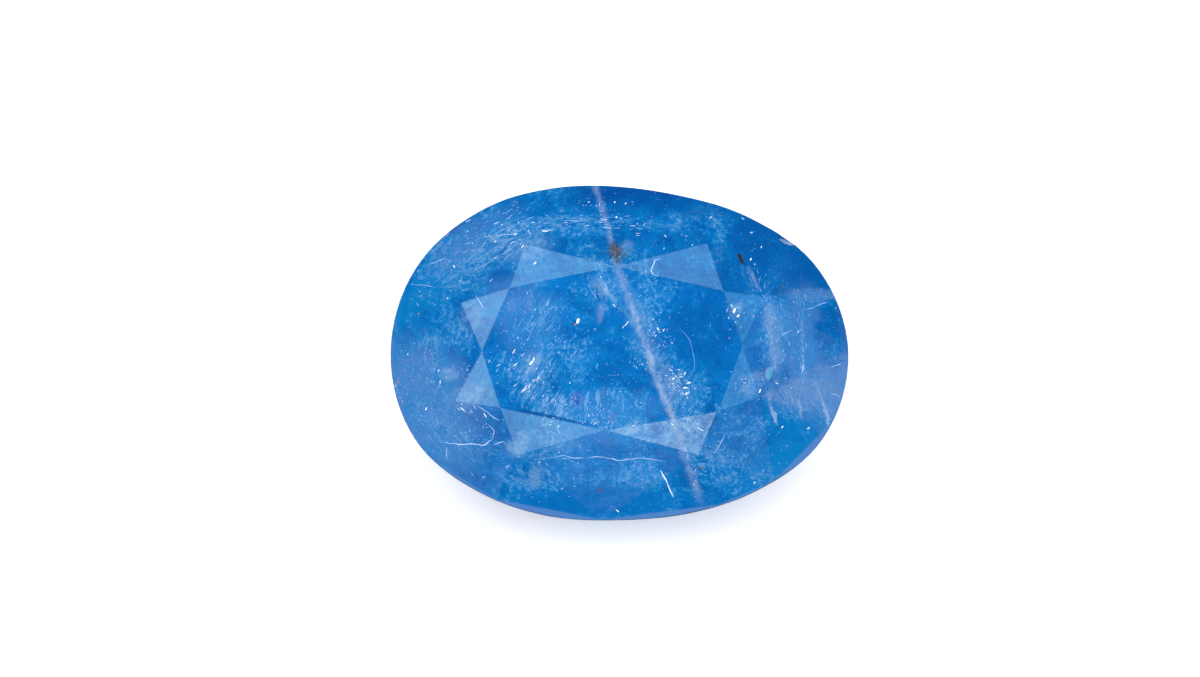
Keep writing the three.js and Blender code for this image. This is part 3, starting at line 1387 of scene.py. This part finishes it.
@dataclass
class Inclusions:
    """Everything that grew in the stone or cracked in it and shows by itself.

    Attributes:
        stone: The cut stone that they are in.
        cut: The cutter's frame.
        seed: Starts the random draws.
        fading: The power that crystals' brightnesses are raised to, so that faint ones fade.
        crack_fading: The same for hairline cracks.
        pinpoints: How many pinpoints there are.
        pinpoint_length: How long most of them are.
        needles: How many needles lie deep in the stone.
        needle_box: The lowest and highest corner of the box where they are looked for.
        needle_margin: How far they stay from the facets.
        facets: The stone's facets as planes.
        draws: The random draws.
    """

    stone: CutStone
    cut: CutFrame
    seed: int = 7
    fading: float = 1.35
    crack_fading: float = 1.6
    pinpoints: int = 500
    pinpoint_length: float = 0.038
    needles: int = 700
    needle_box: tuple[Point, Point] = ((-6.8, -5.0, -4.6), (6.8, 5.0, 1.8))
    needle_margin: float = 0.3
    facets: Facets = field(init=False)
    draws: np.random.Generator = field(init=False)

    def __post_init__(self) -> None:
        """Takes the facets and starts the draws."""
        self.facets = self.stone.facets(self.cut)
        self.draws = np.random.default_rng(self.seed)

    def build(self) -> None:
        """Makes the pieces."""
        self.piece("white_crystals", self.placed(WHITE_CRYSTALS), Tint.SILK)
        self.piece("silk", self.swarms(SILK), Tint.SILK)
        self.piece("fracture_droplets", self.swarms(DROPLETS), Tint.SILK)
        self.piece("pinpoints", self.all_over(), Tint.SILK)
        self.piece("deep_silk", self.deep(), Tint.SILK)
        dark = [self.placed(DARK_GRAINS), self.swarms(DARK_SWARMS)]
        self.piece("dark_grains", Bits.joined(dark), Tint.IRON)
        self.piece("rust_grains", self.placed(RUST_GRAINS), Tint.RUST)
        self.threads("hairline_cracks", THREADS)

    def placed(self, crystals: Sequence[Crystal]) -> Bits:
        """Lays single crystals where they show on the crown.

        Args:
            crystals: The crystals.

        Returns:
            The same as arrays.
        """
        centres, normals = self.facets.crown_over(np.array([crystal.at for crystal in crystals]))
        own = [(c.heading, c.length, c.slim, c.brightness) for c in crystals]
        return Bits.laid(centres, normals, *np.array(own).T)

    def swarms(self, swarms: Sequence[Swarm]) -> Bits:
        """Makes the crystals of several swarms."""
        return Bits.joined([swarm.bits(self.facets, self.draws) for swarm in swarms])

    def all_over(self) -> Bits:
        """Scatters pinpoints over the whole stone, crown and pavilion alike.

        Returns:
            The pinpoints.
        """
        count = self.pinpoints
        centres, normals = self.stone.scatter(self.cut, count, self.draws)
        return Bits.laid(centres, normals, self.draws.uniform(0, 180, count),
                         self.pinpoint_length * self.draws.lognormal(0, 0.4, count),
                         self.draws.uniform(0.3, 0.9, count), self.draws.beta(0.8, 5.0, count))

    def deep(self) -> Bits:
        """Scatters needles inside the stone, in the three directions that silk grows in.

        Places picked in a box are kept where they are well inside every facet, and each needle
        lies in a random plane there, as near to its direction as that lets it.

        Returns:
            The needles.
        """
        tries = 4 * self.needles
        centres = self.draws.uniform(*np.array(self.needle_box), (tries, 3))
        centres = centres[self.facets.inside(centres, self.needle_margin)][:self.needles]
        count = len(centres)
        normals = self.draws.normal(0, 1, (count, 3))
        normals /= np.linalg.norm(normals, axis=1, keepdims=True)
        return Bits.laid(centres, normals, self.draws.choice([0.0, 60.0, 120.0], count),
                         self.draws.uniform(0.2, 0.7, count), self.draws.uniform(0.04, 0.1, count),
                         self.draws.uniform(0.4, 1, count))

    def piece(self, name: str, bits: Bits, tint: Tint) -> None:
        """Makes one piece of many crystals, without those that would stand out of the CAD box.

        Args:
            name: The piece's name.
            bits: The crystals.
            tint: Their finish.
        """
        each = BELT + 2
        corners = self.cut.to_room(bits.corners(self.draws).reshape(-1, 3)).reshape(-1, each, 3)
        low, high = (np.array(corner) for corner in CAD_BOX)
        kept = ((corners > low) & (corners < high)).all(axis=(1, 2))
        corners, brightness = corners[kept], bits.brightness[kept]
        belt = np.arange(BELT)
        after = np.roll(belt, -1)
        top = np.column_stack([belt, after, np.full(BELT, BELT)])
        bottom = np.column_stack([after, belt, np.full(BELT, BELT + 1)])
        faces = np.concatenate([top, bottom]) + each * np.arange(len(corners))[:, None, None]
        made = add_piece(name, corners.reshape(-1, 3), faces.reshape(-1, 3), tint.material())
        self.brighten(made, np.repeat(brightness**self.fading, each))

    def threads(self, name: str, threads: Sequence[Thread]) -> None:
        """Makes one piece of many threads.

        Args:
            name: The piece's name.
            threads: The threads.
        """
        built = [thread.surface(self.facets, self.draws) for thread in threads]
        lengths = [len(corners) for corners, _ in built]
        starts = np.cumsum([0, *lengths])
        corners = self.cut.to_room(np.concatenate([corners for corners, _ in built]))
        faces = np.concatenate([faces + start for (_, faces), start in zip(built, starts)])
        made = add_piece(name, corners, faces, Tint.CRACK.material())
        levels = [thread.brightness**self.crack_fading for thread in threads]
        self.brighten(made, np.repeat(levels, lengths))

    def brighten(self, piece: bpy.types.Object, brightness: Array) -> None:
        """Writes the corners' brightness on a piece."""
        attribute = piece.data.attributes.new("brightness", "FLOAT", "POINT")
        attribute.data.foreach_set("value", brightness.astype(np.float32))


WHITE_CRYSTALS = (
    Crystal((-1.28, 0.85), 0.24, 0.42, 75, 1.0),
    Crystal((3.47, 1.18), 0.25, 0.34, 70, 1.0),
    Crystal((3.58, 1.02), 0.15, 0.42, 40, 0.9),
    Crystal((3.38, 1.33), 0.10, 0.51, 100, 0.8),
    Crystal((-2.58, 2.64), 0.16, 0.42, 45, 0.9),
    Crystal((-3.19, 3.56), 0.16, 0.42, 30, 0.9),
    Crystal((-2.29, 3.65), 0.27, 0.19, 4, 0.9),
    Crystal((-5.06, 2.59), 0.16, 0.30, -50, 0.8),
    Crystal((-5.25, 1.60), 0.10, 0.42, 70, 0.8),
    Crystal((-3.6, 3.88), 0.09, 0.51, 20, 0.7),
    Crystal((4.24, -1.26), 0.19, 0.30, 60, 0.9),
    Crystal((4.94, -2.31), 0.12, 0.42, 50, 0.9),
    Crystal((5.74, -2.33), 0.11, 0.51, 20, 0.8),
    Crystal((5.43, 0.59), 0.10, 0.42, 70, 0.8),
    Crystal((3.98, 2.79), 0.13, 0.51, 60, 0.8),
    Crystal((4.1, 2.64), 0.07, 0.59, 0, 0.7),
    Crystal((4.31, 3.19), 0.12, 0.34, 58, 0.8),
    Crystal((4.01, 3.65), 0.12, 0.51, 20, 0.6),
    Crystal((2.77, 4.11), 0.15, 0.26, 55, 0.7),
    Crystal((3.76, 4.10), 0.16, 0.30, -40, 0.5),
    Crystal((4.10, -3.98), 0.10, 0.51, 60, 0.8),
    Crystal((-0.07, -4.85), 0.19, 0.21, -50, 0.9),
    Crystal((-0.95, 4.59), 0.10, 0.42, 40, 0.7),
    Crystal((-0.16, 4.58), 0.09, 0.51, 80, 0.8),
    Crystal((0.17, 4.54), 0.12, 0.30, 60, 0.8),
    Crystal((-0.11, 4.10), 0.10, 0.51, 80, 0.9),
    Crystal((0.52, 3.88), 0.10, 0.34, 30, 0.7),
    Crystal((0.73, 3.86), 0.07, 0.42, 60, 0.7),
    Crystal((1.38, 3.49), 0.15, 0.21, -55, 0.8),
    Crystal((1.34, 3.10), 0.09, 0.42, 60, 0.7),
    Crystal((-5.9, -1.75), 0.18, 0.17, 50, 0.9),
    Crystal((-5.9, -1.75), 0.15, 0.19, -40, 0.9),
    Crystal((-6.47, -0.07), 0.09, 0.51, 60, 0.8),
    Crystal((-5.52, -0.60), 0.10, 0.42, 60, 0.9),
    Crystal((-5.47, -0.94), 0.15, 0.26, 88, 0.9),
    Crystal((-3.22, -0.06), 0.24, 0.17, 58, 0.9),
    Crystal((-2.69, -0.41), 0.22, 0.42, 40, 0.9),
    Crystal((-2.62, -0.3), 0.12, 0.51, 100, 0.9),
    Crystal((0.2, 0.78), 0.22, 0.14, 52, 0.9),
    Crystal((0.1, 0.68), 0.19, 0.14, 50, 0.8),
    Crystal((0.41, -2.32), 0.12, 0.51, 20, 0.6),
    Crystal((-1.52, -1.02), 0.10, 0.34, 70, 0.8),
    Crystal((1.62, -0.9), 0.15, 0.34, 40, 0.9),
    Crystal((1.95, -0.75), 0.13, 0.34, 75, 0.9),
    Crystal((2.0, -1.35), 0.16, 0.30, 60, 0.9),
)

SILK = (
    Swarm(((-1.6, 0.2), (-2.3, -0.6), (-3.0, -1.4)), 0.035, 44, 0.19, 57, 12, 0.8),
    Swarm(((-2.4, -2.15), (-1.85, -2.25)), 0.06, 26, 0.16, 35, 20, 1.0),
    Swarm(((-1.4, 2.8), (-0.3, 2.6), (0.4, 2.45)), 0.05, 36, 0.08, 20, 60, 0.9),
    Swarm(((-5.0, -1.7), (-4.2, -2.0)), 0.12, 30, 0.16, -50, 12, 0.6),
    Swarm(((-6.9, -0.8), (-6.6, -1.5)), 0.1, 60, 0.06, 60, 60, 0.7),
    Swarm(((-4.6, 2.6), (-2.7, 3.6)), 0.28, 190, 0.1, 30, 30, 0.55),
    Swarm(((-5.4, 2.2), (-4.2, 3.0)), 0.3, 80, 0.09, 35, 40, 0.4),
    Swarm(((-2.6, 3.9), (1.0, 3.85)), 0.2, 150, 0.13, 2, 14, 0.45),
    Swarm(((1.0, 3.9), (3.0, 3.3)), 0.3, 70, 0.08, -20, 50, 0.4),
    Swarm(((2.9, 4.1), (4.4, 2.9)), 0.25, 34, 0.07, 55, 30, 0.3),
    Swarm(((-0.9, 4.5), (0.4, 4.4)), 0.2, 30, 0.08, 50, 50, 0.5),
    Swarm(((-3.6, 1.4), (-1.6, 0.2)), 0.55, 170, 0.09, 62, 30, 0.45),
    Swarm(((-3.4, -0.3), (-1.9, -1.6)), 0.4, 230, 0.11, 58, 16, 0.55),
    Swarm(((-1.9, -1.5), (-0.5, -1.9)), 0.35, 150, 0.09, 70, 30, 0.45),
    Swarm(((-0.9, -2.0), (-0.25, -2.3)), 0.16, 120, 0.08, 86, 24, 0.6),
    Swarm(((-0.5, -0.4), (0.9, -1.6)), 0.5, 110, 0.07, 60, 60, 0.4),
    Swarm(((-1.2, 1.9), (0.2, 1.6)), 0.4, 110, 0.08, -50, 50, 0.4),
    Swarm(((0.3, 2.2), (1.3, 1.9)), 0.3, 40, 0.07, 60, 60, 0.35),
    Swarm(((4.1, 2.6), (4.4, 1.2)), 0.16, 60, 0.09, -75, 20, 0.25),
    Swarm(((4.5, 1.7), (4.6, -0.9)), 0.2, 260, 0.11, 70, 50, 0.26, 0),
    Swarm(((5.4, 1.6), (5.5, -1.2)), 0.16, 130, 0.12, 88, 16, 0.24, 0),
    Swarm(((4.9, 1.6), (6.5, 1.4)), 0.25, 90, 0.07, 10, 40, 0.45),
    Swarm(((5.0, -1.5), (6.4, -1.7)), 0.45, 110, 0.08, -68, 30, 0.22, 0),
    Swarm(((3.1, 0.2), (3.6, 1.4)), 0.25, 60, 0.08, 65, 30, 0.5),
    Swarm(((3.4, -0.7), (4.3, -1.3)), 0.22, 70, 0.08, 60, 40, 0.5),
    Swarm(((2.3, -2.7), (3.6, -3.2)), 0.35, 120, 0.07, -60, 50, 0.45),
    Swarm(((3.4, -3.4), (5.0, -2.6)), 0.4, 90, 0.07, 30, 60, 0.35),
    Swarm(((-0.4, -3.0), (1.9, -3.6)), 0.35, 110, 0.07, -10, 60, 0.4),
    Swarm(((-3.4, -3.4), (-1.2, -3.9)), 0.4, 170, 0.07, -25, 50, 0.4),
    Swarm(((-5.6, -2.4), (-3.8, -2.9)), 0.4, 190, 0.08, -40, 50, 0.4),
    Swarm(((-4.1, -2.5), (-4.0, -2.6)), 0.16, 60, 0.05, 60, 90, 0.7),
    Swarm(((-6.4, 0.4), (-5.4, -1.2)), 0.4, 210, 0.06, 60, 60, 0.5),
    Swarm(((-5.4, -0.5), (-4.6, -0.85)), 0.2, 90, 0.06, 70, 60, 0.5),
    Swarm(((-6.3, 1.5), (-4.9, 1.6)), 0.35, 70, 0.08, -60, 40, 0.4),
    Swarm(((-4.9, 0.6), (-4.2, -1.2)), 0.25, 80, 0.08, 70, 40, 0.4),
    Swarm(((-2.5, -2.9), (-1.2, -2.8)), 0.3, 60, 0.07, 45, 60, 0.4),
    Swarm(((-2.6, 1.9), (-1.0, -1.2)), 0.6, 160, 0.13, 62, 14, 0.16, 0),
    Swarm(((0.2, 2.1), (1.6, 0.6)), 0.5, 80, 0.12, 55, 30, 0.16, 0),
    Swarm(((-4.9, 3.3), (-2.9, 4.2)), 0.3, 130, 0.16, 30, 10, 0.2, 0),
    Swarm(((-3.4, -3.3), (3.4, -3.5)), 0.5, 160, 0.1, -8, 30, 0.2, 0),
    Swarm(((-6.2, -1.6), (-4.4, -3.2)), 0.4, 120, 0.1, -50, 20, 0.2, 0),
)

DROPLETS = (
    Swarm(((-0.66, 4.5), (-0.24, 3.33), (0.4, 1.34)), 0.05, 120, 0.08, -74, 20, 0.5),
    Swarm(((0.4, 1.34), (1.48, -1.69), (2.39, -4.07)), 0.06, 220, 0.08, -68, 26, 0.6),
    Swarm(((0.8, 1.2), (1.85, -1.5)), 0.2, 130, 0.06, 60, 60, 0.5),
    Swarm(((1.55, -0.55), (1.9, -0.85)), 0.12, 60, 0.1, 30, 40, 1.0),
    Swarm(((1.5, -0.9), (1.95, -1.35)), 0.15, 120, 0.09, 55, 35, 0.95),
    Swarm(((2.05, -0.95), (2.15, -1.45)), 0.1, 40, 0.09, 70, 40, 0.8),
    Swarm(((0.45, -0.3), (0.8, -0.6)), 0.14, 50, 0.09, 50, 40, 0.8),
    Swarm(((1.0, 0.9), (1.3, 0.1)), 0.13, 90, 0.09, 60, 40, 0.8),
    Swarm(((1.8, -2.0), (2.3, -2.4)), 0.15, 60, 0.08, 40, 60, 0.7),
    Swarm(((4.42, -1.3), (4.76, -2.1)), 0.03, 30, 0.08, -65, 20, 0.4),
    Swarm(((5.37, -1.45), (5.5, -1.9)), 0.03, 16, 0.07, -75, 20, 0.4),
    Swarm(((5.9, -0.97), (6.09, -1.53), (6.39, -2.23)), 0.03, 36, 0.08, -66, 20, 0.4),
)

DARK_GRAINS = (
    Crystal((3.67, 2.81), 0.5, 0.3, -70, 1.0),
    Crystal((3.67, 2.81), 0.46, 0.28, -70, 1.0),
    Crystal((4.95, 1.95), 0.22, 0.22, 62, 0.6),
    Crystal((4.96, 2.12), 0.1, 0.3, 80, 0.4),
    Crystal((2.44, -3.58), 0.13, 0.9, 0, 0.3),
    Crystal((-0.6, -4.24), 0.3, 0.3, 45, 0.4),
    Crystal((-2.52, 2.57), 0.07, 0.7, 0, 0.4),
)

DARK_SWARMS = (
    Swarm(((-0.3, 3.06), (0.0, 2.9)), 0.1, 190, 0.12, 30, 90, 1.2, 0),
    Swarm(((-0.16, 2.9), (-0.06, 2.6)), 0.05, 60, 0.1, 80, 60, 1.2, 0),
)

RUST_GRAINS = (
    Crystal((-6.14, 1.16), 0.09, 0.8, 0, 0.3),
    Crystal((-6.80, -0.92), 0.13, 0.7, 60, 0.4),
    Crystal((-1.36, 0.76), 0.12, 0.7, 10, 0.4),
    Crystal((-0.11, 3.91), 0.05, 0.9, 0, 0.6),
    Crystal((-0.69, 3.07), 0.05, 0.9, 0, 0.6),
    Crystal((-5.52, 3.3), 0.15, 0.25, 40, 0.5),
)

THREADS = (
    Thread(((1.24, 2.77), (1.05, 2.72), (1.0, 2.55), (0.94, 2.38), (1.02, 2.27), (1.19, 2.22)),
           0.04, 0.75, 0.015),
    Thread(((1.74, 0.70), (1.95, 0.5), (2.09, 0.29), (2.19, 0.02), (2.24, -0.24), (2.27, -0.70)),
           0.025, 0.22),
    Thread(((1.23, -3.64), (1.44, -4.03), (1.62, -4.44)), 0.055, 0.95, 0.01),
    Thread(((-4.38, 1.66), (-4.14, 1.25)), 0.045, 0.85, 0.005),
    Thread(((-2.35, -3.29), (-1.77, -3.22), (-1.14, -3.29), (-0.56, -3.23), (-0.09, -3.33),
            (0.68, -3.29), (1.42, -3.37)), 0.035, 0.6),
    Thread(((-5.4, -2.77), (-4.96, -2.84), (-4.44, -2.84), (-4.14, -2.88), (-3.88, -2.73),
            (-3.81, -2.47), (-4.03, -2.25)), 0.035, 0.75),
    Thread(((-3.85, -2.86), (-3.51, -2.77)), 0.03, 0.6),
    Thread(((-5.29, -2.88), (-5.29, -3.28)), 0.03, 0.5),
    Thread(((-4.33, -1.70), (-4.07, -1.88), (-3.66, -2.18)), 0.035, 0.6),
    Thread(((-4.15, 3.48), (-3.62, 3.55), (-3.25, 3.57)), 0.03, 0.6),
    Thread(((-5.84, 2.70), (-5.27, 2.88)), 0.03, 0.5),
    Thread(((-6.45, 2.07), (-5.95, 2.05), (-5.66, 1.96)), 0.03, 0.5),
    Thread(((5.55, 1.22), (6.34, 1.55)), 0.03, 0.5),
    Thread(((4.89, 0.43), (5.25, 0.66)), 0.03, 0.5),
    Thread(((6.37, -0.48), (6.85, -0.3)), 0.03, 0.5),
    Thread(((6.44, -1.32), (6.55, -1.26), (6.72, -1.38)), 0.03, 0.6),
    Thread(((2.36, -2.38), (2.55, -2.48)), 0.04, 0.8),
    Thread(((3.19, -2.58), (2.87, -3.14)), 0.03, 0.6),
    Thread(((-1.77, 3.98), (-0.9, 3.98)), 0.03, 0.5),
    Thread(((-2.44, 3.68), (-2.06, 3.68)), 0.04, 0.8),
    Thread(((-0.98, 2.0), (-0.86, 1.75), (-0.68, 1.5)), 0.03, 0.4),
    Thread(((-0.75, 2.15), (-0.48, 2.02), (-0.36, 1.78), (-0.45, 1.5)), 0.035, 0.45),
)


@dataclass(frozen=True)
class Studio:
    """The pale floor, the soft light and the camera.

    The table mirrors the camera up at mirror_elevation. A ring of soft light round that direction
    shows in the star facets alone.

    Attributes:
        lens: The camera's focal length.
        view_width: How wide the picture is at the stone.
        elevation: How high the camera stands, in radians.
        girdle_height: The height of the girdle's middle, at which the camera aims.
        aim: How far right of and above the picture's middle the girdle's middle shows, in pixels.
        photo_width: The picture's width in pixels.
        mirror_elevation: How high the table mirrors the camera, in radians.
        floor_reach: How far the floor goes to each side, in metres.
        floor_colour: The floor's linear colour.
        floor_glow: What it adds of its own, so that it stays pale.
        room_colour: The linear colour of the room's light.
        backdrop: How bright the room is behind the floor.
        dome: How bright the room is at eye level, and how much brighter overhead.
        ring_inside: Where the ring starts, in degrees from the mirrored direction.
        ring_outside: Where it ends.
        ring_light: How bright it is in the middle, and how much dimmer towards the right.
        low_light: How bright the low windows are.
        dark: How bright a facet's mirrored room is between the lights.
    """

    lens: float = 200.0
    view_width: float = 36.6
    elevation: float = math.radians(59)
    girdle_height: float = 0.6
    aim: Pair = (20.0, -13.5)
    photo_width: float = 1200.0
    mirror_elevation: float = math.radians(67)
    floor_reach: float = 1.5
    floor_colour: Colour = (0.95, 0.92, 0.91)
    floor_glow: float = 0.24
    room_colour: Colour = (0.97, 1.0, 1.0)
    backdrop: float = 0.96
    dome: Pair = (0.94, 0.76)
    ring_inside: Pair = (20, 23)
    ring_outside: Pair = (47, 43)
    ring_light: Pair = (0.82, -0.9)
    low_light: float = 1.6
    dark: float = 0.02

    def camera(self, cut: CutFrame) -> None:
        """Makes the camera, looking down on the stone's face.

        Args:
            cut: The cutter's frame.
        """
        data = bpy.data.cameras.new("camera")
        data.lens = self.lens
        data.clip_start, data.clip_end = 0.01, 10
        camera = bpy.data.objects.new("camera", data)
        distance = self.view_width * MM * self.lens / data.sensor_width
        back = Vector((0, -math.cos(self.elevation), math.sin(self.elevation)))
        camera.rotation_mode = "QUATERNION"
        camera.rotation_quaternion = (-back).to_track_quat("-Z", "Y")
        pixel = self.view_width * MM / self.photo_width
        right = camera.rotation_quaternion @ Vector((1, 0, 0))
        up = camera.rotation_quaternion @ Vector((0, 1, 0))
        girdle = Vector(cut.to_room(np.array([0, 0, self.girdle_height])))
        camera.location = girdle + back * distance
        camera.location -= (right * self.aim[0] + up * self.aim[1]) * pixel
        bpy.context.scene.collection.objects.link(camera)
        bpy.context.scene.camera = camera

    def floor(self) -> None:
        """Lays a plain white floor, which the stone doesn't mirror."""
        mesh = bpy.data.meshes.new("floor")
        r = self.floor_reach
        mesh.from_pydata([(-r, -r, 0), (r, -r, 0), (r, r, 0), (-r, r, 0)], [], [(0, 1, 2, 3)])
        material, graph, shader = new_material("floor_white")
        graph.feed(shader.inputs["Base Color"], self.floor_colour)
        shader.inputs["Roughness"].default_value = 0.9
        shader.inputs["Specular IOR Level"].default_value = 0.0
        graph.feed(shader.inputs["Emission Color"], (1.0, 1.0, 1.0))
        shader.inputs["Emission Strength"].default_value = self.floor_glow
        mesh.materials.append(material)
        floor = bpy.data.objects.new("floor", mesh)
        bpy.context.scene.collection.objects.link(floor)
        floor.visible_glossy = False

    def light(self) -> None:
        """Sets the world: an even dome, with the ring and the windows where it is mirrored."""
        world = bpy.data.worlds.new("studio")
        bpy.context.scene.world = world
        world.use_nodes = True
        graph = Graph(world.node_tree)
        direction = graph.node("TexCoord").outputs["Generated"]
        apart = graph.axes(direction)
        lights = graph.math("ADD", self.ring(graph, direction, apart), self.windows(graph, apart))
        mirrored = graph.math("ADD", lights, self.dark)
        level, overhead = self.dome
        dome = graph.scaled(apart["Z"], overhead, level)
        rays = graph.node("LightPath").outputs
        unseen = graph.node("Mix", {"Factor": rays["Is Glossy Ray"], "A": dome, "B": mirrored})
        shown = graph.node("Mix", {"Factor": rays["Is Camera Ray"],
                                   "A": unseen.outputs["Result"], "B": self.backdrop})
        background = graph.node("Background", {"Color": self.room_colour,
                                               "Strength": shown.outputs["Result"]})
        graph.node("OutputWorld", {"Surface": background.outputs[0]})

    def ring(self, graph: Graph, direction: Socket, apart: bpy.types.NodeOutputs) -> Socket:
        """Gives the ring's light, by the angle from the direction in which the table mirrors.

        Args:
            graph: The world's graph.
            direction: The direction of the light.
            apart: The same, taken apart.

        Returns:
            How bright it is.
        """
        axis = (0, -math.cos(self.mirror_elevation), math.sin(self.mirror_elevation))
        turned = graph.vector("DOT_PRODUCT", direction, axis, out="Value")
        angle = graph.math("MULTIPLY", graph.math("ARCCOSINE", turned), math.degrees(1))
        band = graph.math("MULTIPLY", graph.step(angle, *self.ring_inside),
                          graph.step(angle, *self.ring_outside))
        middle, rightwards = self.ring_light
        return graph.math("MULTIPLY", band, graph.scaled(apart["X"], rightwards, middle))

    def windows(self, graph: Graph, apart: bpy.types.NodeOutputs) -> Socket:
        """Gives the light of five low windows, which fade out towards the front.

        Args:
            graph: The world's graph.
            apart: The direction of the light, taken apart.

        Returns:
            How bright it is.
        """
        count, turn = 5.0, 0.9
        around = graph.math("ARCTAN2", apart["X"], apart["Y"])
        panes = graph.step(graph.math("SINE", graph.scaled(around, count, turn)), -0.3, 0.3)
        off_level = graph.math("ABSOLUTE", graph.math("ADD", apart["Z"], 0.25))
        low = graph.math("MULTIPLY", panes, graph.step(off_level, 0.5, 0.3, self.low_light))
        return graph.math("MULTIPLY", low, graph.step(apart["Y"], -0.6, -0.2))


def main() -> None:
    """Builds the studio, the stone and what is in it."""
    logging.basicConfig(level=logging.INFO, format="%(name)s: %(message)s")
    bpy.context.scene.view_settings.view_transform = "Standard"
    stone = CutStone()
    cut = CutFrame.of_stone(stone.corners())
    studio = Studio()
    studio.camera(cut)
    studio.floor()
    studio.light()
    Inclusions(stone, cut).build()
    stone.build(cut)


if __name__ == "__main__":
    main()
